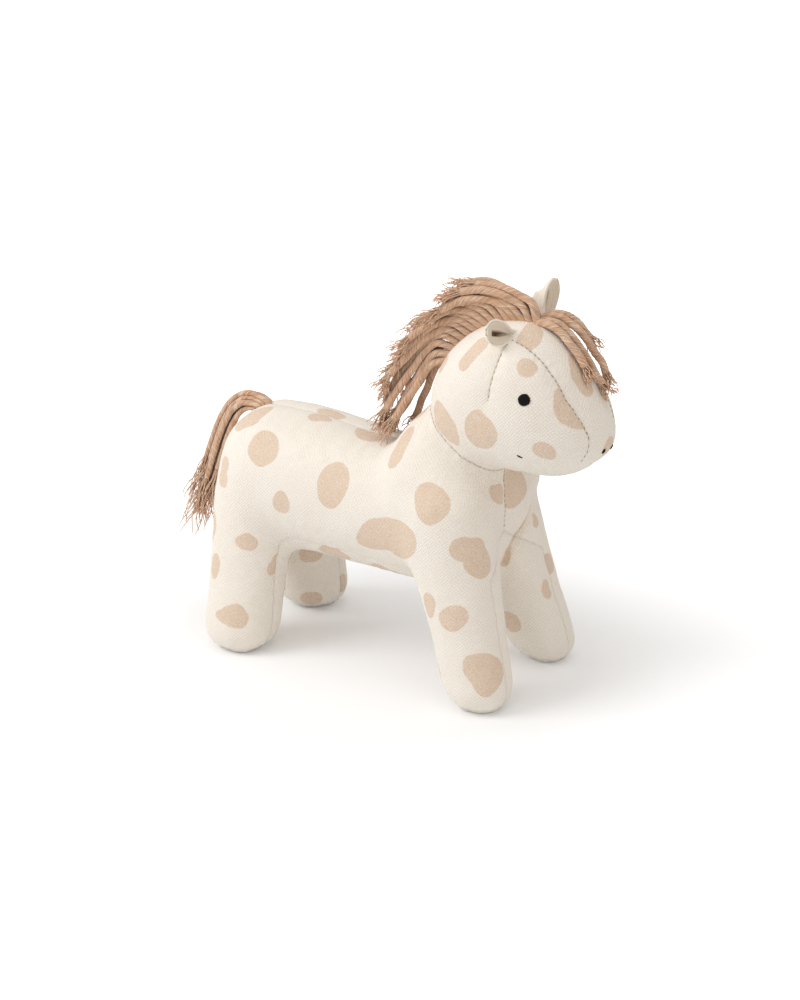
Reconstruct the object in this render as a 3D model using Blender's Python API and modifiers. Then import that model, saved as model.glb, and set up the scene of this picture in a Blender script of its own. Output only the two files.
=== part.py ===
"""Plush horse: a stuffed canvas toy standing on four splayed legs, with a yarn mane, forelock and tail.

Metres, +Z up. The horse faces +X and its left side is +Y. Z is 0 at the flat soles, and the whole
horse, from its tail to its nose, is centred on the origin.
The cloth skin is cut from panels that meet at seams, and each portion of stuffing fills its own form.
"""
import bpy
import bmesh
from math import copysign, cos, pi, radians, sin
from mathutils import Matrix, Vector
from mathutils.bvhtree import BVHTree

MM = 0.001

# Cloth, seams and clearances
CLOTH = 1.0 * MM            # thickness of the canvas with its backing
GAP = 0.3 * MM              # clearance kept between pieces that touch on the toy
OVERRUN = 6.0 * MM          # how far a cutter passes what it cuts
MERGE = 0.01 * MM           # points closer than this are one

# Fineness of the forms
BODY_SIDES = 22             # points round the torso, neck and head
LEG_SIDES = 16
FACE_SEGMENTS = 12
FACE_RINGS = 8
SHARP_ANGLE = radians(50)
PIVOT_SIZE = 10 * MM

# Driving dimensions of the body
BODY_LENGTH = 178.5 * MM    # rump to chest
BODY_WIDTH = 84.0 * MM
BACK_HEIGHT = 138.5 * MM    # ground to the top of the rump
RUMP_BEHIND = 108.5 * MM    # rump behind the middle of the stance
STANCE_LENGTH = 160.0 * MM  # front foot centre to rear foot centre
STANCE_WIDTH = 78.0 * MM    # right foot centre to left foot centre

# Driving dimensions of the head
HEAD_LENGTH = 106.5 * MM    # nape to nose tip
HEAD_HEIGHT = 85.0 * MM     # throat to crown
HEAD_WIDTH = 78.0 * MM
NAPE_AHEAD = 28.0 * MM      # nape ahead of the middle of the stance
THROAT_DROP = 12.5 * MM     # throat below the top of the rump
THROAT_HEIGHT = BACK_HEIGHT - THROAT_DROP

# Legs
SHOULDER_HEIGHT = 122.0 * MM
HAUNCH_HEIGHT = 110.0 * MM
SHOULDER_AHEAD = 48.5 * MM
HAUNCH_BEHIND = 80.0 * MM
SHOULDER_SPREAD = 48.0 * MM  # right shoulder centre to left shoulder centre
HAUNCH_SPREAD = 38.0 * MM
SHOULDER_RADIUS = 26.5 * MM
FRONT_FOOT_RADIUS = 20.6 * MM
HAUNCH_RADIUS = 25.0 * MM
REAR_FOOT_RADIUS = 22.8 * MM
SOLE_HEIGHT = 3.0 * MM      # the sole seam runs this high round each foot

# Torso, rump to chest: place along the body as a share of its length, underside and back as shares
# of the back's height, half width as a share of the width, and squareness, where 2 is an ellipse
TORSO_SHARES = (
    (0.000, 0.650, 0.736, 0.107, 2.0),
    (0.020, 0.542, 0.852, 0.250, 2.0),
    (0.064, 0.455, 0.939, 0.393, 2.0),
    (0.148, 0.404, 1.000, 0.488, 2.0),
    (0.328, 0.397, 0.993, 0.500, 2.0),
    (0.552, 0.390, 0.953, 0.488, 2.0),
    (0.748, 0.383, 0.939, 0.488, 2.1),
    (0.866, 0.404, 0.917, 0.476, 2.3),
    (0.933, 0.455, 0.881, 0.429, 2.5),
    (0.978, 0.549, 0.816, 0.310, 2.5),
    (1.000, 0.635, 0.736, 0.119, 2.2),
)

# Chest and neck, brisket to just below the neck seam, where the head's own first section ends them:
# back point and front point of each section as shares of the body's length and the back's height,
# half width as a share of the width, and squareness
NECK_SHARES = (
    (0.787, 0.433, 0.955, 0.419, 0.333, 2.2),
    (0.731, 0.520, 1.000, 0.505, 0.476, 2.6),
    (0.675, 0.650, 1.014, 0.621, 0.524, 3.0),
    (0.653, 0.794, 1.017, 0.722, 0.536, 3.0),
    (0.647, 0.946, 1.014, 0.816, 0.476, 2.8),
    (0.703, 1.054, 1.006, 0.874, 0.369, 2.4),
)

# Head, neck seam to nose: upper and lower point of each section, ahead of the nape as a share of the
# head's length and above the throat as a share of its height, and half width as a share of its width
HEAD_SHARES = (
    (0.000, 0.376, 0.390, 0.000, 0.308),
    (0.024, 0.541, 0.415, 0.006, 0.390),
    (0.100, 0.729, 0.445, 0.012, 0.440),
    (0.225, 0.886, 0.480, 0.012, 0.475),
    (0.385, 0.980, 0.527, 0.006, 0.495),
    (0.560, 1.000, 0.594, 0.000, 0.497),
    (0.705, 0.900, 0.665, 0.000, 0.475),
    (0.825, 0.730, 0.745, 0.012, 0.425),
    (0.915, 0.540, 0.830, 0.050, 0.350),
    (0.976, 0.390, 0.915, 0.120, 0.240),
    (1.000, 0.290, 0.980, 0.210, 0.090),
)

# Leg, sole to top: height as a share of the leg's height, lean from the foot's centre to the top's,
# change from foot radius to top radius, and roundness of the ends
LEG_SHARES = (
    (0.000, 0.00, 0.00, 0.80),
    (0.025, 0.02, 0.00, 0.92),
    (0.080, 0.09, 0.00, 0.985),
    (0.180, 0.20, 0.00, 1.00),
    (0.330, 0.40, 0.15, 1.00),
    (0.490, 0.62, 0.50, 1.00),
    (0.655, 0.85, 0.90, 1.00),
    (0.780, 0.95, 1.00, 1.00),
    (0.900, 1.00, 1.00, 0.94),
    (0.975, 1.00, 1.00, 0.68),
    (1.000, 1.00, 1.00, 0.27),
)


# Where the panels are cut
BELLY_SEAM_HEIGHT = 70.0 * MM   # the belly seam's height where it passes the top of the inner leg
BELLY_SEAM_SPREAD = 60.0 * MM   # right belly seam to left
CHEST_POINT_HEIGHT = 88.0 * MM  # where the two belly seams meet on the chest
FOREHEAD_WIDTH = 40.0 * MM      # seam to seam over the forehead
MUZZLE_WIDTH = 26.0 * MM        # seam to seam at the nose
FOREHEAD_START = 86.0 * MM      # rear end of the forehead gusset, ahead of the middle of the stance
MUZZLE_SEAM_RISE = 15.0 * MM    # the seams' lower ends under the nose, above the throat
MUZZLE_SEAM_HEIGHT = THROAT_HEIGHT + MUZZLE_SEAM_RISE
FILLING_SPLIT_AHEAD = 12.0 * MM  # where the rump's stuffing meets the chest's

# Ears: a cupped leaf of two cloth layers, its base sewn into the head near the crown
EAR_LENGTH = 25.0 * MM
EAR_WIDTH = 32.0 * MM        # across the leaf laid flat
EAR_CURL = 8.0 * MM          # radius that the leaf is curled to
EAR_AHEAD = 73.5 * MM        # ear base ahead of the middle of the stance
EAR_SPREAD = 42.0 * MM       # right ear base to left ear base
EAR_ROOT = 5.0 * MM          # how far the leaf starts under the cloth before it is cut to its seat
EAR_CLOTH = 0.9 * MM
EAR_FOLD = radians(10)       # an ear folds this far to each side
EAR_STEPS = 10               # strips across the leaf
EAR_LEAF_SHARES = ((0.0, 0.6), (0.25, 0.84), (0.42, 1.0), (0.6, 0.97), (0.75, 0.8), (0.9, 0.48), (1.0, 0.14))
EAR_RIGHT_AIM = Vector((0.36, -0.83, 0.42)).normalized()
EAR_LEFT_AIM = Vector((0.32, 0.30, 0.90)).normalized()

# Face, all of it embroidered
EYE_DIAMETER = 6.4 * MM
EYE_CROWN = 1.1 * MM         # height of the satin stitch over the cloth
EYE_AHEAD = 99.8 * MM
EYE_RISE = 50.9 * MM         # above the throat
EYE_HEIGHT = THROAT_HEIGHT + EYE_RISE
NOSTRIL_DIAMETER = 2.4 * MM
NOSTRIL_CROWN = 0.9 * MM
NOSTRIL_SPREAD = 9.6 * MM
NOSTRIL_RISE = 19.0 * MM
NOSTRIL_HEIGHT = THROAT_HEIGHT + NOSTRIL_RISE
MOUTH_LENGTH = 3.4 * MM
MOUTH_THREAD = 1.1 * MM
MOUTH_AHEAD = 96.4 * MM
MOUTH_RISE = 19.0 * MM
MOUTH_HEIGHT = THROAT_HEIGHT + MOUTH_RISE
MOUTH_SLOPE = radians(35)

# Yarn cords of the mane, forelock and tail
CORD_DIAMETER = 4.4 * MM
CORD_POINTS = 7
CORD_ROOT = 4.0 * MM         # how far a cord starts under the cloth before it is cut to its seat
MANE_CORDS_PER_SIDE = 10
MANE_LENGTH = 60.0 * MM      # longest cord of the mane, outside the cloth
MANE_START_AHEAD = 89.0 * MM  # first root at the poll
MANE_ROOT_SPREAD = 5.2 * MM  # right row of roots to left row
MANE_NEAR_TIP_SPREAD = 8.0 * MM   # right tips to left tips of the odd cords along the crest
MANE_FAR_TIP_SPREAD = 19.0 * MM   # and of the even ones, which stand out further
MANE_SWING = radians(8)
FORELOCK_LENGTH = 51.0 * MM
FORELOCK_AHEAD = 96.0 * MM
FORELOCK_PITCH = 5.4 * MM
TAIL_ROOT_BEHIND = 87.0 * MM
TAIL_LENGTH = 112.0 * MM
TAIL_PITCH = 5.3 * MM        # cord to cord across the bundle
TAIL_RISE = 128              # heading where the tail leaves the back, in degrees up from straight ahead
TAIL_FALL = 268              # heading at its tips
TAIL_BEND_SHARE = 0.32       # how early along it the tail bends over
FORELOCK_RISE = 5           # heading where the forelock leaves the poll, in degrees
FORELOCK_FALL = 95           # heading of its tips below level
BROW_SHARE = 0.62            # where the forehead gusset starts to narrow towards the nose

# Mane: place of the root from poll to nape, heading at the root and at the tip in degrees up from
# straight ahead, and length as a share of the longest cord
MANE_SHARES = (
    (0.00, 146, 184, 0.97),
    (0.25, 158, 210, 0.73),
    (0.50, 170, 226, 0.68),
    (0.75, 186, 236, 0.66),
    (1.00, 200, 243, 0.66),
)

# Forelock: place of the root in pitches to the left, turn of the cord to the left in degrees, and
# length as a share of the longest cord
FORELOCK_SHARES = ((-1.0, 0, 0.88), (0.0, 7, 0.96), (1.0, 14, 1.0), (2.0, 21, 0.92))

# Tail: each cord's place in the bundle, across and up, in pitches, and length as a share
TAIL_SHARES = ((-1.0, 0.5, 0.94), (0.0, 0.55, 1.0), (1.0, 0.5, 0.90), (-0.5, -0.4, 0.86), (0.5, -0.4, 0.96))


def blend_rows(rows, places):
    """Smooth values between hand-chosen rows, at places counted in rows."""
    count = len(rows)
    slopes = []
    for i in range(count):
        before = rows[max(i - 1, 0)]
        after = rows[min(i + 1, count - 1)]
        span = min(i + 1, count - 1) - max(i - 1, 0)
        slopes.append([(b - a) / span for a, b in zip(before, after)])
    out = []
    for place in places:
        i = min(int(place), count - 2)
        t = place - i
        here = 2 * t**3 - 3 * t**2 + 1
        there = 3 * t**2 - 2 * t**3
        leave = t**3 - 2 * t**2 + t
        arrive = t**3 - t**2
        row = zip(rows[i], rows[i + 1], slopes[i], slopes[i + 1])
        out.append([here * a + there * b + leave * m + arrive * n for a, b, m, n in row])
    return out


def side(x, z):
    """A point of the side view, in the plane that halves the horse."""
    return Vector((x, 0, z))


def oval(upper, lower, half_width, squareness):
    """Closed ring of points through an upper and a lower point of the side view."""
    middle = (upper + lower) / 2
    reach = (upper - lower) / 2
    ring = []
    for k in range(BODY_SIDES):
        turn = 2 * pi * k / BODY_SIDES
        up = copysign(abs(cos(turn)) ** (2 / squareness), cos(turn))
        out = copysign(abs(sin(turn)) ** (2 / squareness), sin(turn))
        ring.append(middle + reach * up + Vector((0, half_width * out, 0)))
    return ring


def torso_rings():
    rings = []
    for along, low, high, half, squareness in TORSO_SHARES:
        x = along * BODY_LENGTH - RUMP_BEHIND
        back = side(x, high * BACK_HEIGHT)
        front = side(x, low * BACK_HEIGHT)
        rings.append(oval(back, front, half * BODY_WIDTH, squareness))
    return rings


def neck_rings():
    rings = []
    for back_x, back_z, front_x, front_z, half, squareness in NECK_SHARES:
        back = side(back_x * BODY_LENGTH - RUMP_BEHIND, back_z * BACK_HEIGHT)
        front = side(front_x * BODY_LENGTH - RUMP_BEHIND, front_z * BACK_HEIGHT)
        rings.append(oval(back, front, half * BODY_WIDTH, squareness))
    return rings + [head_rings()[0]]


def head_rings():
    rings = []
    for upper_x, upper_z, lower_x, lower_z, half in HEAD_SHARES:
        upper = side(NAPE_AHEAD + upper_x * HEAD_LENGTH, THROAT_HEIGHT + upper_z * HEAD_HEIGHT)
        lower = side(NAPE_AHEAD + lower_x * HEAD_LENGTH, THROAT_HEIGHT + lower_z * HEAD_HEIGHT)
        rings.append(oval(upper, lower, half * HEAD_WIDTH, 2))
    return rings


def leg_rings(foot, top, height, foot_radius, top_radius):
    rings = []
    for up, lean, swell, roundness in LEG_SHARES:
        centre = foot.lerp(top, lean)
        centre.z = up * height
        radius = (foot_radius + (top_radius - foot_radius) * swell) * roundness
        turns = [2 * pi * k / LEG_SIDES for k in range(LEG_SIDES)]
        rings.append([centre + radius * Vector((cos(a), sin(a), 0)) for a in turns])
    return rings


def past(ring, direction):
    """The ring moved on along a direction, so that a loft runs past the plane that cuts it."""
    return [point + direction * OVERRUN for point in ring]


def loft(name, rings):
    """Closed solid through rings of equal count, made of triangles that mirror about the XZ plane."""
    mesh = bmesh.new()
    rows = [[mesh.verts.new(point) for point in ring] for ring in rings]
    count = len(rows[0])
    for a, b in zip(rows, rows[1:]):
        for k in range(count):
            n = (k + 1) % count
            if k < count // 2:
                mesh.faces.new((a[k], a[n], b[n]))
                mesh.faces.new((a[k], b[n], b[k]))
            else:
                mesh.faces.new((a[k], a[n], b[k]))
                mesh.faces.new((a[n], b[n], b[k]))
    for row, ring in ((rows[0], rings[0]), (rows[-1], rings[-1])):
        centre = mesh.verts.new(sum(ring, Vector((0, 0, 0))) / count)
        for k in range(count):
            mesh.faces.new((row[k], row[(k + 1) % count], centre))
    bmesh.ops.recalc_face_normals(mesh, faces=mesh.faces)
    return add_object(name, mesh)


def add_object(name, mesh):
    """Object from a bmesh, kept among the cutters until it is finished as a piece."""
    data = bpy.data.meshes.new(name)
    mesh.to_mesh(data)
    mesh.free()
    made = bpy.data.objects.new(name, data)
    made.hide_render = True
    made.display_type = "WIRE"
    tools.objects.link(made)
    return made


def grown(form, name, by):
    """Copy of a form whose every point is moved out along its normal, or in where by is negative."""
    mesh = bmesh.new()
    mesh.from_mesh(form.data)
    moves = [(vert, vert.normal * by) for vert in mesh.verts]
    for vert, move in moves:
        vert.co += move
    return add_object(name, mesh)


def copied(form, name):
    return grown(form, name, 0)


def turned(form, name, centre, axis, angle):
    """Copy of a form turned about an axis through a centre."""
    made = copied(form, name)
    to_centre = Matrix.Translation(centre)
    made.data.transform(to_centre @ Matrix.Rotation(angle, 4, axis) @ to_centre.inverted())
    return made


def mirrored(form, name):
    """Copy of a right piece as the left one."""
    made = copied(form, name)
    made.data.transform(Matrix.Diagonal((1, -1, 1, 1)))
    made.data.flip_normals()
    return made


def combine(target, tool, operation):
    """Boolean of two solids, the result kept in the first."""
    change = target.modifiers.new(operation.lower(), "BOOLEAN")
    change.operation = operation
    change.solver = "EXACT"
    change.object = tool
    graph = bpy.context.evaluated_depsgraph_get()
    result = bpy.data.meshes.new_from_object(target.evaluated_get(graph))
    target.modifiers.clear()
    target.data = result
    return target


def joined(name, forms):
    made = copied(forms[0], name)
    for form in forms[1:]:
        combine(made, form, "UNION")
    return made


def block(name, low, high):
    """Box between two corners."""
    mesh = bmesh.new()
    bmesh.ops.create_cube(mesh, size=1)
    placing = Matrix.Translation((low + high) / 2) @ Matrix.Diagonal((*(high - low), 1))
    bmesh.ops.transform(mesh, verts=mesh.verts, matrix=placing)
    return add_object(name, mesh)


def prism(name, outline, direction):
    """Solid swept from an outline along a direction."""
    return loft(name, [outline, [point + direction for point in outline]])


def surface_point(tree, start, direction):
    """Where a line from inside a form leaves it, and the outward normal there."""
    point, normal, _, _ = tree.ray_cast(start, direction)
    return point, normal


def ellipsoid(name, centre, normal, along, sizes):
    """Flattened ball: sizes along its long direction, across it and along its normal."""
    mesh = bmesh.new()
    bmesh.ops.create_uvsphere(mesh, u_segments=FACE_SEGMENTS, v_segments=FACE_RINGS, radius=1)
    x = (along - along.dot(normal) * normal).normalized()
    y = normal.cross(x)
    turn = Matrix((x, y, normal)).transposed().to_4x4()
    place = Matrix.Translation(centre) @ turn @ Matrix.Diagonal((*sizes, 1))
    bmesh.ops.transform(mesh, verts=mesh.verts, matrix=place)
    return add_object(name, mesh)


def cord(name, points):
    """Yarn cord: a tube with closed ends along its points, as a mesh."""
    curve = bpy.data.curves.new(name, "CURVE")
    curve.dimensions = "3D"
    curve.bevel_depth = CORD_DIAMETER / 2
    curve.bevel_resolution = 1
    curve.use_fill_caps = True
    spline = curve.splines.new("POLY")
    spline.points.add(len(points) - 1)
    for spot, point in zip(spline.points, points):
        spot.co = (*point, 1)
    tube = bpy.data.objects.new(name + "_curve", curve)
    tools.objects.link(tube)
    graph = bpy.context.evaluated_depsgraph_get()
    mesh = bmesh.new()
    mesh.from_mesh(bpy.data.meshes.new_from_object(tube.evaluated_get(graph)))
    bmesh.ops.remove_doubles(mesh, verts=mesh.verts, dist=MERGE)
    bmesh.ops.recalc_face_normals(mesh, faces=mesh.faces)
    bpy.data.objects.remove(tube)
    return add_object(name, mesh)


def bending_path(root, ahead, first, last, length, drift):
    """Points of a cord whose heading turns evenly from first to last, in degrees up from ahead.

    It starts under the cloth and drifts sideways towards its tip."""
    points = [root - CORD_ROOT * heading(ahead, first)]
    step = length / (CORD_POINTS - 1)
    here = root.copy()
    for k in range(CORD_POINTS):
        points.append(here + drift * (k / (CORD_POINTS - 1)))
        share = (k + 0.5) / (CORD_POINTS - 1)
        here = here + step * heading(ahead, first + (last - first) * share)
    return points


def heading(ahead, angle):
    return ahead * cos(radians(angle)) + Vector((0, 0, sin(radians(angle))))


def ear_leaf(name, base, aim, facing, depth):
    """Layer of an ear: a leaf curled about its own length, open towards where it faces."""
    across = aim.cross(facing).normalized()
    open_way = across.cross(aim).normalized()
    radius = EAR_CURL - depth
    mesh = bmesh.new()
    rows = []
    for along, width in EAR_LEAF_SHARES:
        row = []
        for k in range(EAR_STEPS + 1):
            turn = (2 * k / EAR_STEPS - 1) * width * EAR_WIDTH / 2 / EAR_CURL
            centre = base - aim * EAR_ROOT + aim * along * (EAR_LENGTH + EAR_ROOT) + open_way * EAR_CURL
            point = centre + radius * (across * sin(turn) - open_way * cos(turn))
            row.append(mesh.verts.new(point))
        rows.append(row)
    for a, b in zip(rows, rows[1:]):
        for k in range(EAR_STEPS):
            mesh.faces.new((a[k], a[k + 1], b[k + 1], b[k]))
    leaf = add_object(name, mesh)
    wall = leaf.modifiers.new("cloth", "SOLIDIFY")
    wall.thickness = EAR_CLOTH
    wall.offset = 0
    graph = bpy.context.evaluated_depsgraph_get()
    leaf.data = bpy.data.meshes.new_from_object(leaf.evaluated_get(graph))
    leaf.modifiers.clear()
    return leaf


def finish(name, made, pivot, look):
    """Names a piece, gives it its material and hangs it on the pivot that carries it."""
    made.name = name
    made.data.name = name
    made.hide_render = False
    made.display_type = "TEXTURED"
    made.data.shade_smooth()
    made.data.set_sharp_from_angle(angle=SHARP_ANGLE)
    made.data.materials.clear()
    made.data.materials.append(look)
    tools.objects.unlink(made)
    horse.objects.link(made)
    made.parent = pivot
    made.location = -place_of(pivot)


def place_of(pivot):
    """A pivot's place in the stance's own frame."""
    here = Vector((0, 0, 0))
    while pivot is not stance:
        here = here + pivot.location
        pivot = pivot.parent
    return here


def add_pivot(name, place, parent):
    made = bpy.data.objects.new(name, None)
    made.empty_display_size = PIVOT_SIZE
    made.parent = parent
    made.location = place - place_of(parent)
    horse.objects.link(made)
    return made


def material(name, colour, roughness):
    made = bpy.data.materials.new(name)
    made.use_nodes = True
    shader = made.node_tree.nodes["Principled BSDF"]
    shader.inputs["Base Color"].default_value = (*colour, 1)
    shader.inputs["Roughness"].default_value = roughness
    shader.inputs["Metallic"].default_value = 0
    return made


# Empty scene, with one collection for the horse and one for the forms and cutters
for old in list(bpy.data.objects):
    bpy.data.objects.remove(old)
horse = bpy.data.collections.new("plush_horse")
tools = bpy.data.collections.new("cutters")
bpy.context.scene.collection.children.link(horse)
bpy.context.scene.collection.children.link(tools)
stance = bpy.data.objects.new("stance", None)
stance.empty_display_size = PIVOT_SIZE
horse.objects.link(stance)

canvas = material("printed_cotton_canvas", (0.87, 0.80, 0.70), 0.95)
lining = material("ear_lining_cotton", (0.78, 0.69, 0.58), 0.95)
stuffing = material("polyester_fibre_filling", (0.93, 0.93, 0.91), 1.0)
black_thread = material("black_embroidery_thread", (0.02, 0.018, 0.016), 0.7)
yarn = material("tan_cotton_cord", (0.58, 0.42, 0.30), 0.9)

# Whole forms: torso, neck, head and legs
torso = loft("torso_form", torso_rings())
neck_end = neck_rings()[-1]
seam_centre = sum(neck_end, Vector((0, 0, 0))) / len(neck_end)
seam_line = neck_end[0] - neck_end[len(neck_end) // 2]
seam_normal = Vector((-seam_line.z, 0, seam_line.x)).normalized()
if seam_normal.z < 0:
    seam_normal.negate()
neck = loft("neck_form", neck_rings() + [past(neck_end, seam_normal)])
head = loft("head_form", [past(head_rings()[0], -seam_normal)] + head_rings())
legs = {}
for sign, flank in ((-1, "right"), (1, "left")):
    foot = Vector((STANCE_LENGTH / 2, sign * STANCE_WIDTH / 2, 0))
    top = Vector((SHOULDER_AHEAD, sign * SHOULDER_SPREAD / 2, 0))
    rings = leg_rings(foot, top, SHOULDER_HEIGHT, FRONT_FOOT_RADIUS, SHOULDER_RADIUS)
    legs["front_" + flank] = loft("front_" + flank + "_form", rings)
    foot = Vector((-STANCE_LENGTH / 2, sign * STANCE_WIDTH / 2, 0))
    top = Vector((-HAUNCH_BEHIND, sign * HAUNCH_SPREAD / 2, 0))
    rings = leg_rings(foot, top, HAUNCH_HEIGHT, REAR_FOOT_RADIUS, HAUNCH_RADIUS)
    legs["rear_" + flank] = loft("rear_" + flank + "_form", rings)

# The space on each side of the neck seam, of the middle and of the sole seams
room = BODY_LENGTH + HEAD_LENGTH + BACK_HEIGHT
aside = Vector((0, 1, 0))
seam_along = aside.cross(seam_normal)
corners = ((-1, -1), (1, -1), (1, 1), (-1, 1))
seam_square = [seam_centre + room * (a * seam_along + b * aside) for a, b in corners]
seam_half_gap = seam_normal * GAP / 2
above_square = [point + seam_half_gap for point in seam_square]
above_neck_seam = prism("above_neck_seam", above_square, seam_normal * room)
below_square = [point - seam_half_gap for point in seam_square]
below_neck_seam = prism("below_neck_seam", below_square, -seam_normal * room)
low_corner = Vector((-room, -room, -room))
high_corner = Vector((room, room, room))
right_side = block("right_side", low_corner, Vector((room, -GAP / 2, room)))
over_sole = Vector((-room, -room, SOLE_HEIGHT + GAP / 2))
over_sole_seam = block("over_sole_seam", over_sole, high_corner)
under_sole = Vector((room, room, SOLE_HEIGHT - GAP / 2))
under_sole_seam = block("under_sole_seam", low_corner, under_sole)

# Body skin: each panel is its share of the outside, less the room inside for the stuffing
body_outside = joined("body_outside", [torso, neck] + list(legs.values()))
combine(body_outside, below_neck_seam, "INTERSECT")
combine(body_outside, over_sole_seam, "INTERSECT")
inner_torso = grown(torso, "inner_torso", -CLOTH)
long_neck = loft("long_neck_form", neck_rings() + [past(past(neck_end, seam_normal), seam_normal)])
inner_neck = grown(long_neck, "inner_neck", -CLOTH)
inner_legs = {place: grown(leg, "inner_" + place, -CLOTH) for place, leg in legs.items()}
body_room = joined("body_room", [inner_torso, inner_neck] + list(inner_legs.values()))


def belly_outline(extra):
    """Outline of the belly gusset seen from ahead, its seams moved out by extra."""
    foot_side = STANCE_WIDTH / 2 + extra
    seam_side = BELLY_SEAM_SPREAD / 2 + extra
    corners = ((foot_side, -OVERRUN), (seam_side, BELLY_SEAM_HEIGHT), (0, CHEST_POINT_HEIGHT + extra),
               (-seam_side, BELLY_SEAM_HEIGHT), (-foot_side, -OVERRUN))
    return [Vector((-room, y, z)) for y, z in corners]


length_of_room = Vector((2 * room, 0, 0))
belly_gusset = copied(body_outside, "belly_gusset")
combine(belly_gusset, body_room, "DIFFERENCE")
combine(belly_gusset, prism("belly_cutter", belly_outline(-GAP / 2), length_of_room), "INTERSECT")
finish("belly_gusset", belly_gusset, stance, canvas)
body_right = combine(body_outside, right_side, "INTERSECT")
combine(body_right, prism("belly_clearance", belly_outline(GAP / 2), length_of_room), "DIFFERENCE")
combine(body_right, body_room, "DIFFERENCE")
finish("body_panel_left", mirrored(body_right, "body_panel_left"), stance, canvas)
finish("body_panel_right", body_right, stance, canvas)

# Soles: the bottom of each leg's skin, flat on the ground
for place, leg in legs.items():
    sole = combine(copied(leg, "sole_" + place), inner_legs[place], "DIFFERENCE")
    combine(sole, under_sole_seam, "INTERSECT")
    finish("sole_" + place, sole, stance, canvas)

# Stuffing: one portion for the rump, one for the chest and neck, one for each leg, one for the head
inset = -(CLOTH + GAP)
torso_filling = grown(torso, "torso_filling_form", inset)
neck_filling = grown(neck, "neck_filling_form", inset)
filling = joined("body_filling", [torso_filling, neck_filling])
combine(filling, below_neck_seam, "INTERSECT")
split_rear = FILLING_SPLIT_AHEAD - GAP / 2
behind_split = block("behind_split", low_corner, Vector((split_rear, room, room)))
split_front = FILLING_SPLIT_AHEAD + GAP / 2
ahead_of_split = block("ahead_of_split", Vector((split_front, -room, -room)), high_corner)
chest_filling = combine(copied(filling, "chest_filling"), ahead_of_split, "INTERSECT")
finish("chest_filling", chest_filling, stance, stuffing)
finish("rump_filling", combine(filling, behind_split, "INTERSECT"), stance, stuffing)
for end in ("front", "rear"):
    made = grown(legs[end + "_right"], "leg_filling", inset)
    combine(made, inner_torso, "DIFFERENCE")
    combine(made, inner_neck, "DIFFERENCE")
    finish("leg_filling_" + end + "_left", mirrored(made, "leg_filling"), stance, stuffing)
    finish("leg_filling_" + end + "_right", made, stance, stuffing)

# Head skin in two cheeks and a forehead gusset, with its stuffing; it turns on the neck seam
head_pivot = add_pivot("head_pivot", seam_centre, stance)
axes = {head_pivot: seam_normal}
head_seat = grown(head, "head_seat", GAP)
head_tree = BVHTree.FromObject(head, bpy.context.evaluated_depsgraph_get())
head_start = past(past(head_rings()[0], -seam_normal), -seam_normal)
long_head = loft("long_head_form", [head_start] + head_rings())
head_room = grown(long_head, "head_room", -CLOTH)
head_outside = combine(copied(head, "head_outside"), above_neck_seam, "INTERSECT")


def forehead_outline(extra):
    """Outline of the forehead gusset seen from above, its seams moved out by extra."""
    wide = FOREHEAD_WIDTH / 2 + extra
    narrow = MUZZLE_WIDTH / 2 + extra
    rear = FOREHEAD_START - extra
    nose = NAPE_AHEAD + HEAD_LENGTH
    brow = FOREHEAD_START + (nose - FOREHEAD_START) * BROW_SHARE
    low = MUZZLE_SEAM_HEIGHT - extra
    corners = ((rear, wide), (brow, wide), (nose, narrow), (nose + OVERRUN, narrow),
               (nose + OVERRUN, -narrow), (nose, -narrow), (brow, -wide), (rear, -wide))
    return [Vector((x, y, low)) for x, y in corners]


forehead_gusset = copied(head_outside, "forehead_gusset")
height_of_room = Vector((0, 0, room))
gusset_cutter = prism("forehead_cutter", forehead_outline(-GAP / 2), height_of_room)
combine(forehead_gusset, gusset_cutter, "INTERSECT")
combine(forehead_gusset, head_room, "DIFFERENCE")
head_right = combine(head_outside, right_side, "INTERSECT")
gusset_clearance = prism("forehead_clearance", forehead_outline(GAP / 2), height_of_room)
combine(head_right, gusset_clearance, "DIFFERENCE")
combine(head_right, head_room, "DIFFERENCE")
finish("forehead_gusset", forehead_gusset, head_pivot, canvas)
finish("head_panel_left", mirrored(head_right, "head_panel_left"), head_pivot, canvas)
finish("head_panel_right", head_right, head_pivot, canvas)
head_filling = combine(grown(head, "head_filling", inset), above_neck_seam, "INTERSECT")
finish("head_filling", head_filling, head_pivot, stuffing)

# Eyes, nostrils and mouth corners: pads of satin stitch seated on the cloth
head_middle = side(NAPE_AHEAD + HEAD_LENGTH / 2, THROAT_HEIGHT + HEAD_HEIGHT / 2)
ahead = Vector((1, 0, 0))
upward = Vector((0, 0, 1))
no_drift = Vector((0, 0, 0))
mouth_way = ahead * cos(MOUTH_SLOPE) - Vector((0, 0, sin(MOUTH_SLOPE)))
face = (
    ("eye", Vector((EYE_AHEAD, 0, EYE_HEIGHT)), aside, ahead,
     (EYE_DIAMETER / 2, EYE_DIAMETER / 2, EYE_CROWN)),
    ("nostril", Vector((head_middle.x, NOSTRIL_SPREAD / 2, NOSTRIL_HEIGHT)), ahead, aside,
     (NOSTRIL_DIAMETER / 2, NOSTRIL_DIAMETER / 2, NOSTRIL_CROWN)),
    ("mouth_stitch", Vector((MOUTH_AHEAD, 0, MOUTH_HEIGHT)), aside, mouth_way,
     (MOUTH_LENGTH / 2, MOUTH_THREAD / 2, MOUTH_THREAD)),
)
for sign, flank in ((-1, "right"), (1, "left")):
    for name, start, way, along, sizes in face:
        start = Vector((start.x, sign * start.y, start.z))
        way = Vector((way.x, sign * way.y, way.z))
        point, normal = surface_point(head_tree, start, way)
        pad = ellipsoid(name, point, normal, along, sizes)
        finish(name + "_" + flank, combine(pad, head_seat, "DIFFERENCE"), head_pivot, black_thread)

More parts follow.
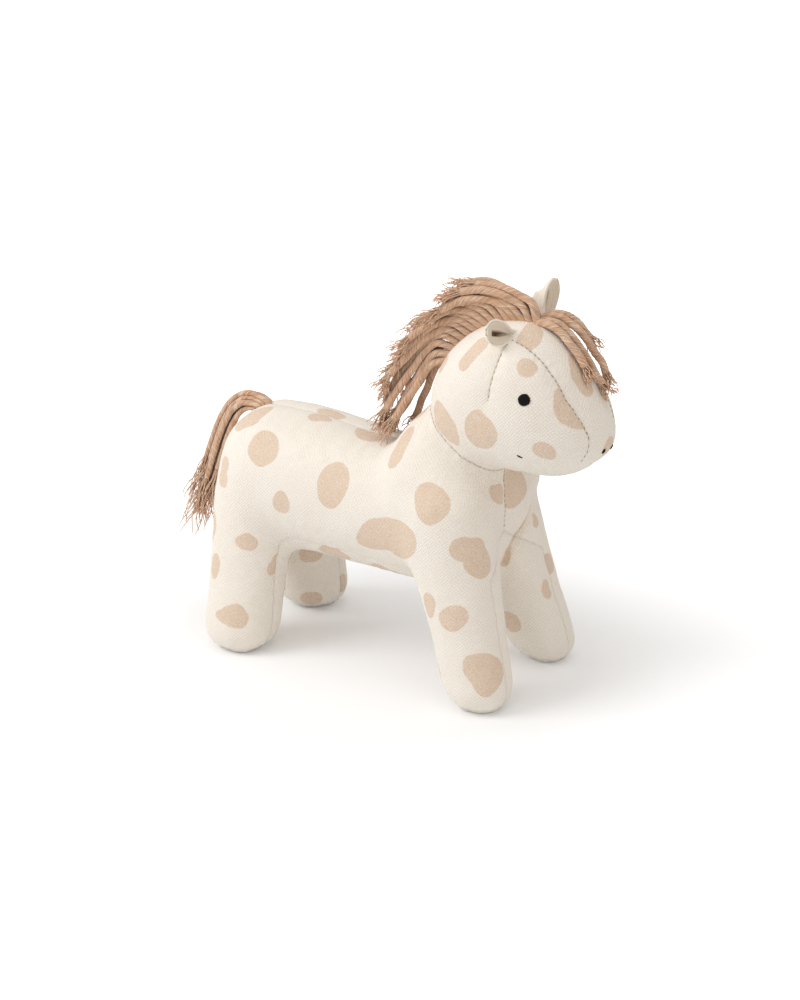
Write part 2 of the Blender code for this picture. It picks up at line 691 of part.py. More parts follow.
# Ears, each of two layers, cut clear of the head at rest and at both ends of their fold
for sign, flank, aim in ((-1, "right", EAR_RIGHT_AIM), (1, "left", EAR_LEFT_AIM)):
    under = Vector((EAR_AHEAD, sign * EAR_SPREAD / 2, head_middle.z))
    base = surface_point(head_tree, under, upward)[0]
    pivot = add_pivot("ear_" + flank + "_pivot", base, head_pivot)
    fold_axis = aim.cross(ahead).normalized()
    axes[pivot] = fold_axis
    folds = [turned(head_seat, "fold", base, fold_axis, turn) for turn in (-EAR_FOLD, EAR_FOLD)]
    relief = joined("ear_relief", [head_seat] + folds)
    for layer, depth, look in (("outer", 0, canvas), ("lining", EAR_CLOTH + GAP, lining)):
        leaf = ear_leaf("ear_" + flank + "_" + layer, base, aim, ahead, depth)
        finish("ear_" + flank + "_" + layer, combine(leaf, relief, "DIFFERENCE"), pivot, look)

# Mane: two rows of cords rooted from the poll round to the nape, along the head's own outline
crest = [ring[0] for ring in head_rings()]
crest = [point for point in crest if point.x < MANE_START_AHEAD]
poll = surface_point(head_tree, side(MANE_START_AHEAD, head_middle.z), upward)[0]
crest.append(poll)
crest.reverse()


def along_crest(share):
    """Point of the crest at a share of its length from the poll to the nape."""
    spans = [(b - a).length for a, b in zip(crest, crest[1:])]
    left = share * (sum(spans) - CORD_DIAMETER)
    for a, b, span in zip(crest, crest[1:], spans):
        if left <= span:
            return a.lerp(b, left / span)
        left -= span
    return crest[-1]


mane_axis = (crest[-1] - poll).normalized()
mane_pivot = add_pivot("mane_pivot", (poll + crest[-1]) / 2, head_pivot)
axes[mane_pivot] = mane_axis
swings = [turned(head_seat, "swing", poll, mane_axis, turn) for turn in (-MANE_SWING, MANE_SWING)]
mane_relief = joined("mane_relief", [head_seat] + swings)
for sign, flank in ((-1, "right"), (1, "left")):
    for k in range(MANE_CORDS_PER_SIDE):
        share = k / (MANE_CORDS_PER_SIDE - 1)
        _, first, last, length = blend_rows(MANE_SHARES, [share * (len(MANE_SHARES) - 1)])[0]
        root = along_crest(share) + aside * sign * MANE_ROOT_SPREAD / 2
        tip_spread = MANE_FAR_TIP_SPREAD if k % 2 else MANE_NEAR_TIP_SPREAD
        drift = aside * sign * (tip_spread - MANE_ROOT_SPREAD) / 2
        points = bending_path(root, ahead, first, last, length * MANE_LENGTH, drift)
        strand = cord("mane_cord_" + flank + "_" + str(k + 1), points)
        finish(strand.name, combine(strand, mane_relief, "DIFFERENCE"), mane_pivot, yarn)

# Forelock: cords from the poll that fall forward over the left of the forehead
behind_roots = side(FORELOCK_AHEAD - CORD_DIAMETER, head_middle.z)
forelock_rear = surface_point(head_tree, behind_roots, upward)[0]
forelock_pivot = add_pivot("forelock_pivot", forelock_rear, head_pivot)
axes[forelock_pivot] = -aside
for k, (pitches, turn, length) in enumerate(FORELOCK_SHARES):
    start = Vector((FORELOCK_AHEAD, pitches * FORELOCK_PITCH, head_middle.z))
    root = surface_point(head_tree, start, upward)[0]
    way = ahead * cos(radians(turn)) + aside * sin(radians(turn))
    points = bending_path(root, way, FORELOCK_RISE, -FORELOCK_FALL, length * FORELOCK_LENGTH, no_drift)
    strand = cord("forelock_cord_" + str(k + 1), points)
    combine(strand, head_seat, "DIFFERENCE")
    finish(strand.name, strand, forelock_pivot, yarn)

# Tail: a bundle of cords that leaves the back over the rump and hangs behind it
body_tree = BVHTree.FromObject(torso, bpy.context.evaluated_depsgraph_get())
tail_root = surface_point(body_tree, side(-TAIL_ROOT_BEHIND, BACK_HEIGHT / 2), upward)[0]
ahead_of_roots = side(CORD_DIAMETER * 1.5 - TAIL_ROOT_BEHIND, BACK_HEIGHT / 2)
tail_pivot = add_pivot("tail_pivot", surface_point(body_tree, ahead_of_roots, upward)[0], stance)
axes[tail_pivot] = aside
body_seat = grown(torso, "body_seat", GAP)


def tail_point(share, across, up):
    """Point of a tail cord: the bundle's middle line, moved across and along its own normal."""
    here = tail_root.copy()
    steps = 40
    turn = TAIL_RISE
    for k in range(steps):
        part = (k + 0.5) / steps
        if part > share:
            break
        turn = TAIL_RISE + (TAIL_FALL - TAIL_RISE) * part**TAIL_BEND_SHARE
        here = here + heading(ahead, turn) * TAIL_LENGTH / steps
    normal = heading(ahead, turn - 90)
    return here + normal * up * TAIL_PITCH + aside * across * TAIL_PITCH


for k, (across, up, length) in enumerate(TAIL_SHARES):
    points = [tail_point(0, across, up) - CORD_ROOT * 2 * heading(ahead, TAIL_RISE)]
    for i in range(CORD_POINTS + 2):
        points.append(tail_point(length * i / (CORD_POINTS + 1), across, up))
    strand = cord("tail_cord_" + str(k + 1), points)
    combine(strand, body_seat, "DIFFERENCE")
    finish(strand.name, strand, tail_pivot, yarn)

# The horse is centred on the origin from tail to nose
reach = [vert.co.x for piece in horse.objects if piece.type == "MESH" for vert in piece.data.vertices]
stance.location.x = -(min(reach) + max(reach)) / 2
for pivot, axis in axes.items():
    print(pivot.name, place_of(pivot) + stance.location, "axis", axis)
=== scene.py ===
# %% [markdown]
# # A plush horse in spotted canvas
# The toy is a stuffed horse on four splayed legs: cream canvas printed with tan spots, a mane, forelock
# and tail of twisted cotton cord, and an embroidered face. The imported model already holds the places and
# the joints, so it is loaded first and never changed, and each soft piece is then built around it.

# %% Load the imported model
import random
from math import cos, pi, radians, sin, sqrt
import bpy
import numpy as np
from mathutils import Matrix, Vector, noise
from mathutils.bvhtree import BVHTree


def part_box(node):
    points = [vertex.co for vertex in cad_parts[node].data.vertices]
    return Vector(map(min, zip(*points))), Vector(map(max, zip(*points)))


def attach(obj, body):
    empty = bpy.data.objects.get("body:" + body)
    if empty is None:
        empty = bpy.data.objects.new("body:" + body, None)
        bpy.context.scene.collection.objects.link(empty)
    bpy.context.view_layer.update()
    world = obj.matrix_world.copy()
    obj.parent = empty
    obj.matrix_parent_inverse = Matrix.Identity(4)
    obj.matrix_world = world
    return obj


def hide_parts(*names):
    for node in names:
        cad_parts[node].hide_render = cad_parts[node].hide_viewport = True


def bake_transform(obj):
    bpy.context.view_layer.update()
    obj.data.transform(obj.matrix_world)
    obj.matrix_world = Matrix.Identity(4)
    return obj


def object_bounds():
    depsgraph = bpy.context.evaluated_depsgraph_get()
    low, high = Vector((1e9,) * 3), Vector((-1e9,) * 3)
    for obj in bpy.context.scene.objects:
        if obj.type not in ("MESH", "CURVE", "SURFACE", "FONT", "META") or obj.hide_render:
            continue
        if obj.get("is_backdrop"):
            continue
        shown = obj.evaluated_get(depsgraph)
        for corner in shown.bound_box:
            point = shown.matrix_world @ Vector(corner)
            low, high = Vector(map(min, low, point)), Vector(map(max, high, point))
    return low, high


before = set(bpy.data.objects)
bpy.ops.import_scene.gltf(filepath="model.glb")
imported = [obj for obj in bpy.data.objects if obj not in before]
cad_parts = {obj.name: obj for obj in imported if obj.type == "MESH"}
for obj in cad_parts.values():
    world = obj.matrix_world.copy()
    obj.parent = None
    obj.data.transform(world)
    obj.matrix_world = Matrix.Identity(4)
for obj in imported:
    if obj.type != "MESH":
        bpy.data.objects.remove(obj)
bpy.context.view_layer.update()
MM = 0.001
AHEAD = Vector((1, 0, 0))
ASIDE = Vector((0, 1, 0))
UP = Vector((0, 0, 1))
STANCE = 7.61 * MM  # the middle of the stance, ahead of the middle of the whole horse

# %% [markdown]
# ## Camera
# A product shot is taken with a long lens from a little above, so the four feet hardly converge. The
# place and the direction come from fitting the horse's own sizes to the photograph. The camera looks
# along its own -Z, so its matrix is built from its right, up and back directions.

# %% Camera
CAMERA_PLACE = Vector((576.83, -934.33, 492.96)) * MM
TURN, RISE = radians(31.154), radians(20.107)
LENS_LENGTH = 74.48
back = Vector((sin(TURN) * cos(RISE), -cos(TURN) * cos(RISE), sin(RISE)))
right = Vector((cos(TURN), sin(TURN), 0))
lens = bpy.data.cameras.new("camera")
lens.lens = LENS_LENGTH
lens.clip_end = 20
camera = bpy.data.objects.new("camera", lens)
place = Matrix((right, back.cross(right), back)).transposed().to_4x4()
place.translation = CAMERA_PLACE
camera.matrix_world = place
bpy.context.scene.collection.objects.link(camera)
bpy.context.scene.camera = camera
bpy.context.scene.view_settings.view_transform = "Standard"
print("camera in mm", [round(v / MM) for v in camera.location])

# %% [markdown]
# ## Materials are small node networks
# Hex colours are written as they look on a screen, and Blender computes in linear light, so one function
# turns them. Another adds a node, sets its fields and inputs, and links what is another node's output. The
# rest are short names for what the materials below use again and again.

# %% Colours and nodes
def colour(text):
    """Linear colour from an sRGB hex value."""
    parts = [int(text[k:k + 2], 16) / 255 for k in (1, 3, 5)]
    return [c / 12.92 if c <= 0.04045 else ((c + 0.055) / 1.055) ** 2.4 for c in parts] + [1.0]


def add(tree, kind, inputs=(), **fields):
    """Adds a node to a tree, with its fields, and its inputs as values or links."""
    made = tree.nodes.new("ShaderNode" + kind)
    for name, value in fields.items():
        setattr(made, name, value)
    for key, value in dict(inputs).items():
        if isinstance(value, bpy.types.NodeSocket):
            tree.links.new(value, made.inputs[key])
        else:
            made.inputs[key].default_value = value
    return made


def calc(tree, operation, *values):
    """A Math node with its inputs in order."""
    return add(tree, "Math", dict(enumerate(values)), operation=operation).outputs[0]


def mix(tree, share, first, second):
    """A blend of two colours, each a hex value or another node's output."""
    first, second = (colour(c) if isinstance(c, str) else c for c in (first, second))
    return add(tree, "Mix", {0: share, 6: first, 7: second}, data_type="RGBA").outputs[2]


def ramp(tree, value, low, high, at_low=0.0, at_high=1.0, **fields):
    """A value carried from one range to another, and held at the ends."""
    return add(tree, "MapRange", {0: value, 1: low, 2: high, 3: at_low, 4: at_high}, **fields).outputs[0]


def grain(tree, place, scale, detail, **more):
    """Noise between 0 and 1."""
    return add(tree, "TexNoise", {"Vector": place, "Scale": scale, "Detail": detail, **more}).outputs["Fac"]


def object_place(tree):
    """A point's place in its object, in metres."""
    return add(tree, "TexCoord").outputs["Object"]


# %% Materials
def new_material(name):
    """A material with its node tree and its shader."""
    made = bpy.data.materials.new(name)
    made.use_nodes = True
    return made, made.node_tree, made.node_tree.nodes["Principled BSDF"]


def set_inputs(shader, **values):
    """Sets inputs of a shader, whose names are written with _ for spaces."""
    for name, value in values.items():
        shader.inputs[name.replace("_", " ")].default_value = value


def emboss(tree, shader, height, strength, depth):
    """Relief from a height between 0 and 1, depth in mm."""
    bump = add(tree, "Bump", {"Height": height, "Strength": strength, "Distance": depth * MM})
    tree.links.new(bump.outputs[0], shader.inputs["Normal"])


print("cream canvas in linear light", [round(v, 3) for v in colour("#F7F0E5")])

# %% [markdown]
# ## Floor and light
# The photograph was taken on a white sweep that fades to nothing, with a broad soft light from the left
# and white cards all round. Here the floor is matt white, and it gives off a little light to the camera
# alone, so that it is pure white except where the horse shades it.

# %% Floor
SWEEP_SIZE = 12
GLOW_STARTS, GLOW_FULL = 0.12, 0.55  # metres from the middle of the floor
LEAST_GLOW = 0.1
bpy.ops.mesh.primitive_plane_add(size=SWEEP_SIZE)
floor = bpy.context.active_object
floor.name = "floor"
sweep, tree, shader = new_material("white_paper_sweep")
set_inputs(shader, Base_Color=colour("#F5F6F8"), Roughness=0.9)
ray = add(tree, "LightPath")
away = add(tree, "VectorMath", {0: object_place(tree)}, operation="LENGTH").outputs["Value"]
brighter = ramp(tree, away, GLOW_STARTS, GLOW_FULL, LEAST_GLOW)
glow = add(tree, "Emission", {"Color": colour("#FFFFFF"), "Strength": brighter})
dark = add(tree, "Emission", {"Strength": 0.0})
seen = add(tree, "MixShader", {0: ray.outputs["Is Camera Ray"], 1: dark.outputs[0], 2: glow.outputs[0]})
both = add(tree, "AddShader", {0: shader.outputs[0], 1: seen.outputs[0]})
tree.links.new(both.outputs[0], tree.nodes["Material Output"].inputs["Surface"])
floor.data.materials.append(sweep)
floor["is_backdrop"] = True

# %% Lamps and world
LAMP_DISTANCE = 1.6
LIT_POINT = UP * 110 * MM
ROOM_STRENGTH = 0.62
LAMPS = (
    ("window", back * 0.22 - right * 0.86 + UP * 0.62, 0.85, 10.8, "#FFFFFF"),
    ("top_card", back * 0.1 + UP, 1.2, 4, "#FFFFFF"),
    ("low_card", back * 0.6 + right * 0.55 - UP * 0.02, 1.0, 1.1, "#FFE6CC"),
)


def soft_lamp(name, toward, size, power, tint):
    """A square lamp that shines on the horse from a direction."""
    data = bpy.data.lights.new(name, "AREA")
    data.size = size
    data.energy = power
    data.color = colour(tint)[:3]
    lamp = bpy.data.objects.new(name, data)
    toward = toward.normalized()
    lamp.location = LIT_POINT + toward * LAMP_DISTANCE
    lamp.rotation_euler = toward.to_track_quat("Z", "Y").to_euler()
    bpy.context.scene.collection.objects.link(lamp)


for lamp in LAMPS:
    soft_lamp(*lamp)
world = bpy.data.worlds.new("white_room")
bpy.context.scene.world = world
world.use_nodes = True
tree = world.node_tree
room = tree.nodes["Background"]
by_camera = add(tree, "LightPath").outputs["Is Camera Ray"]
tree.links.new(mix(tree, by_camera, "#FFFCF8", "#FFFFFF"), room.inputs["Color"])
tree.links.new(ramp(tree, by_camera, 0.0, 1.0, ROOM_STRENGTH), room.inputs["Strength"])

# %% [markdown]
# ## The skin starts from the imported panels
# On the toy the skin is sewn from panels and stuffed until it is tight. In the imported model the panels
# and the stuffing are separate solids, so copies of them are joined and remeshed into one closed
# surface. Remeshing gives even squares, which is what a cloth simulation needs.

# %% Choosing and joining
def alone(piece):
    """Makes a piece the only one that is selected, and the active one."""
    bpy.ops.object.select_all(action="DESELECT")
    piece.select_set(True)
    bpy.context.view_layer.objects.active = piece


def apply_all(piece):
    """Applies every modifier of a piece, in order."""
    alone(piece)
    for modifier in list(piece.modifiers):
        bpy.ops.object.modifier_apply(modifier=modifier.name)
    return piece


def join_pieces(pieces, name):
    """Joins pieces into the first one."""
    alone(pieces[0])
    for piece in pieces:
        piece.select_set(True)
    bpy.ops.object.join()
    pieces[0].name = name
    return pieces[0]


def copy_of_node(node):
    """A new piece with a copy of a CAD node's mesh."""
    made = bpy.data.objects.new("copy_of_" + node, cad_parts[node].data.copy())
    bpy.context.scene.collection.objects.link(made)
    return made


CLOTH_NODES = [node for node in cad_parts
               if node.startswith(("body_panel", "belly_gusset", "sole", "head_panel", "forehead", "chest",
                                   "rump", "leg_filling", "head_filling"))]
skin = join_pieces([copy_of_node(node) for node in CLOTH_NODES], "canvas_skin")
print("panels and stuffing joined:", len(CLOTH_NODES), "nodes")

# %% Remesh into one closed surface
SQUARE = 4.4 * MM


def outer_shell(piece):
    """Keeps the largest loose part of a piece."""
    alone(piece)
    bpy.ops.object.mode_set(mode="EDIT")
    bpy.ops.mesh.select_all(action="SELECT")
    bpy.ops.mesh.separate(type="LOOSE")
    bpy.ops.object.mode_set(mode="OBJECT")
    parts = sorted(bpy.context.selected_objects, key=lambda part: len(part.data.vertices))
    for part in parts[:-1]:
        bpy.data.objects.remove(part)
    parts[-1].name = "canvas_skin"
    return parts[-1]


remesh = skin.modifiers.new("even_squares", "REMESH")
remesh.mode = "VOXEL"
remesh.voxel_size = SQUARE
relax = skin.modifiers.new("relax", "SMOOTH")
relax.factor = 0.5
relax.iterations = 5
skin = outer_shell(apply_all(skin))
skin.data.materials.clear()
print("even squares:", len(skin.data.polygons))

# %% [markdown]
# ## Where the seams run
# Every panel edge of this toy lies in a plane or in a few of them: the middle, the neck, the soles, and
# the sides of the two gussets. So a point's distance to each seam is a short formula. It holds the cloth
# down at the seams while it is stuffed, it draws the seam lines later, and it says which panel is where.

# %% Distance to each seam, in millimetres
NECK_POINT = np.array([56.41, 0, 142])
NECK_WAY = np.array([0.6114, 0, 0.7913])
BELLY_LINES = ((39, -6, 30, 70), (30, 70, 0, 88))
GUSSET_SIDE = (123.68, 20, 142.11, 13)
GUSSET_HALF = 20
GUSSET_END = (95, 145)
FOREHEAD_END = (93.6, 141)
DART = np.array([[89.4, -23.2, 201.6], [87.2, -37.6, 176.4]])
DART_REACH = 3
SOLE_SEAM = 3
FAR = 99.0  # stands for the distance to a seam that the panel doesn't have


def left_of(a, b, across, height):
    """How far points lie inside a line from a to b, seen in a flat view."""
    way = np.array(b, float) - np.array(a, float)
    way = way / np.linalg.norm(way)
    return -((across - a[0]) * way[1] - (height - a[1]) * way[0])


def dart_distances(points):
    """Signed distance across the dart below each ear, and how far a point lies beyond its ends."""
    mirrored = points * [1, -1, 1]
    mirrored[:, 1] = -abs(points[:, 1])
    way = DART[1] - DART[0]
    share = np.clip((mirrored - DART[0]) @ way / (way @ way), 0, 1)
    away = mirrored - DART[0] - share[:, None] * way
    return away[:, 0], np.maximum(np.linalg.norm(away, axis=1) - abs(away[:, 0]) - DART_REACH, 0)


def seam_distances(points):
    """Signed distances of points to the seams, and how far they lie beyond the ends of two of them."""
    x, y, z = points.T
    out = {"neck": (points - NECK_POINT) @ NECK_WAY, "middle": y, "sole": z - SOLE_SEAM}
    belly = [left_of(line[:2], line[2:], abs(y), z) for line in BELLY_LINES]
    out["belly"] = np.minimum(*belly)
    side = -left_of(GUSSET_SIDE[:2], GUSSET_SIDE[2:], x, abs(y))
    out["gusset"] = np.minimum(GUSSET_HALF - abs(y), side)
    out["gusset_end"] = np.maximum.reduce([GUSSET_END[1] - z, GUSSET_END[0] - x, 0 * z])
    out["forehead"] = np.minimum.reduce([x - FOREHEAD_END[0], z - FOREHEAD_END[1], out["gusset"]])
    out["dart"], out["dart_end"] = dart_distances(points)
    return out


# %% Distance to whichever seam is nearest
def nearest_seam(points):
    """Distance to the nearest seam of the panel that a point is on."""
    d = seam_distances(points)
    head = d["neck"] > 0
    across = np.where(head, abs(d["gusset"]) + d["gusset_end"], abs(d["belly"]))
    middle = np.where(np.where(head, d["forehead"], d["belly"]) < 0, abs(d["middle"]), FAR)
    dart = abs(d["dart"]) + d["dart_end"]
    return np.minimum.reduce([abs(d["neck"]), across, middle, abs(d["sole"]) + 1, dart])


def vertex_field(piece, field):
    """One vector for each vertex of a piece."""
    flat = np.empty(len(piece.data.vertices) * 3)
    piece.data.vertices.foreach_get(field, flat)
    return flat.reshape(-1, 3)


def vertex_places(piece):
    """Places of a piece's vertices, in millimetres."""
    return vertex_field(piece, "co") / MM


def set_places(piece, points):
    """Moves a piece's vertices to places in millimetres."""
    piece.data.vertices.foreach_set("co", (points * MM).ravel())
    piece.data.update()


near = nearest_seam(vertex_places(skin))
print("squares' corners within 3 mm of a seam:", int((near < 3).sum()), "of", len(near))

# %% [markdown]
# ## Stuff the skin
# Stuffing pushes the cloth out everywhere except at the seams, which are doubled and stiff. The cloth
# starts slightly small, the seam points are pinned, and pressure does the rest. A cap keeps the result
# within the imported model's size.

# %% Cloth simulation under pressure
SLACK = 0.5
SEAM_HOLD, HOLD_REACH = 1.25, 5
PRESSURE = 90
CLOTH_MASS = 0.001
STIFFNESS = {"tension": 0.5, "compression": 0.5, "shear": 0.17, "bending": 0.05}
FRAMES = 20
CAP = 1.5


def weigh(name, weights):
    """A vertex group of the skin, with a weight for each vertex."""
    group = skin.vertex_groups.new(name=name)
    for k, weight in enumerate(np.clip(weights, 0, 1)):
        group.add([k], float(weight), "REPLACE")


start = vertex_places(skin) - vertex_field(skin, "normal") * SLACK
set_places(skin, start)
weigh("seams", SEAM_HOLD - near / HOLD_REACH)
cloth = skin.modifiers.new("stuffing", "CLOTH")
cloth.settings.quality = 6
cloth.settings.use_pressure = True
cloth.settings.uniform_pressure_force = PRESSURE
cloth.settings.mass = CLOTH_MASS
for kind, value in STIFFNESS.items():
    setattr(cloth.settings, kind + "_stiffness", value)
cloth.settings.effector_weights.gravity = 0
cloth.settings.vertex_group_mass = "seams"
cloth.collision_settings.use_collision = False
for number in range(1, FRAMES + 1):
    bpy.context.scene.frame_set(number)
move = vertex_places(skin.evaluated_get(bpy.context.evaluated_depsgraph_get())) - start
reach = np.linalg.norm(move, axis=1, keepdims=True)
outward = (move * vertex_field(skin, "normal")).sum(axis=1)
print("cloth moved up to", round(float(reach.max()), 2), "mm,",
      "outwards on average", round(float(outward.mean()), 2))
swollen = start + move * np.minimum(1, CAP / np.maximum(reach, 1e-6))
skin.modifiers.remove(cloth)
set_places(skin, swollen)
skin.vertex_groups.clear()

# %% Finer squares, soles on the ground
FOOT_HOLD, FOOT_REACH = 1.7, 8
weigh("feet", FOOT_HOLD - swollen[:, 2] / FOOT_REACH)
rounded = skin.modifiers.new("rounded_feet", "SMOOTH")
rounded.iterations = 16
rounded.vertex_group = "feet"
finer = skin.modifiers.new("finer", "SUBSURF")
finer.levels = finer.render_levels = 2
apply_all(skin)
points = vertex_places(skin)
normals = vertex_field(skin, "normal")
print("skin squares:", len(skin.data.polygons))

# %% [markdown]
# ## Seams pull the cloth in
# A seam turned inward makes a fine valley, and the thread gathers the cloth a little between stitches.
# The left shoulder folds over the chest, with a hollow beside the fold and a swell above it. The simulated
# squares are too coarse for these, so they are pressed into the finished surface.

# %% Helpers for lines of points
def run_along(rows):
    """How far along a line each of its points lies."""
    return np.concatenate([[0], np.cumsum(np.linalg.norm(np.diff(rows, axis=0), axis=1))])


def at_marks(marks, run, rows):
    """The points of a line at some distances along it."""
    return np.stack([np.interp(marks, run, rows[:, k]) for k in range(rows.shape[1])], axis=1)


def distance_to_line(points, line):
    """Distance of points to a line through a few corners."""
    best = np.full(len(points), 1e9)
    for a, b in zip(line, line[1:]):
        share = np.clip((points - a) @ (b - a) / ((b - a) @ (b - a)), 0, 1)
        best = np.minimum(best, np.linalg.norm(points - a - share[:, None] * (b - a), axis=1))
    return best


# %% Press in the seams
CREASE = np.array([(87.4, 26, 97), (85.5, 19.5, 89.5), (83, 13, 82), (80, 9, 77), (78, 7, 73), (76, 6, 66)])
SHOULDER_HOLLOW = np.array([82, 34, 97])
CHEST_SWELL = np.array([76, 37, 110])
UNEVEN = 0.45
SOLE_TOP, SOLE_BEND = 2.4, 1.6
SOLE_PRESS, SOLE_RISE = 0.35, 1.95


def dent(distance, deep, wide):
    """Depth of a soft valley at a distance from its middle, all in mm."""
    return deep * np.exp(-(distance / wide) ** 2)


near = nearest_seam(points)
gather = np.array([noise.noise(Vector(p) * 0.32) for p in points])
uneven = np.array([noise.noise(Vector(p) * 0.06 + Vector((7, 0, 0))) for p in points])
skin_tree = BVHTree.FromObject(skin, bpy.context.evaluated_depsgraph_get())
crease = at_marks(np.linspace(0, len(CREASE) - 1, 21), range(len(CREASE)), CREASE)
crease = np.array([skin_tree.find_nearest(Vector(point) * MM)[0] for point in crease]) / MM
fold = distance_to_line(points, crease)
depth = dent(near, 0.7, 1.0) + dent(near, 0.5, 4.5) * (1 + 0.9 * gather)
depth += dent(fold, 2.6, 1.8) + dent(fold, 1.2, 5)
for middle, deep, wide in ((SHOULDER_HOLLOW, 2.8, 7.5), (CHEST_SWELL, -4.0, 8)):
    depth += dent(np.linalg.norm(points - middle, axis=1), deep, wide)
points = points - normals * depth[:, None] + normals * (UNEVEN * uneven)[:, None]
low = points[:, 2] < SOLE_TOP
points[low, 2] = (np.maximum(points[low, 2] * SOLE_PRESS, 0)
                  + np.maximum(points[low, 2] - SOLE_BEND, 0) * SOLE_RISE)
points[:, 2] = np.maximum(points[:, 2], 0)
set_places(skin, points)
alone(skin)
bpy.ops.object.shade_smooth()
normals = vertex_field(skin, "normal")
skin_tree = BVHTree.FromObject(skin, bpy.context.evaluated_depsgraph_get())
print("skin height in mm", round(points[:, 2].min(), 2), round(points[:, 2].max(), 1))

# %% [markdown]
# ## Printed spots
# The spots are an ordinary printed animal pattern, so they belong to the cloth and stop at the seams.
# They are listed by the panel that they are printed on: R and L for the sides of the body, B for the
# belly, H and K for the right and left cheek, F for the forehead. Each row is a spot's middle and its
# reach in 8 or 16 directions, in millimetres. A point then knows how far inside a spot it lies, and the
# material draws the edge there. The spots on the sides that the photograph doesn't show are of the same
# kind and size.

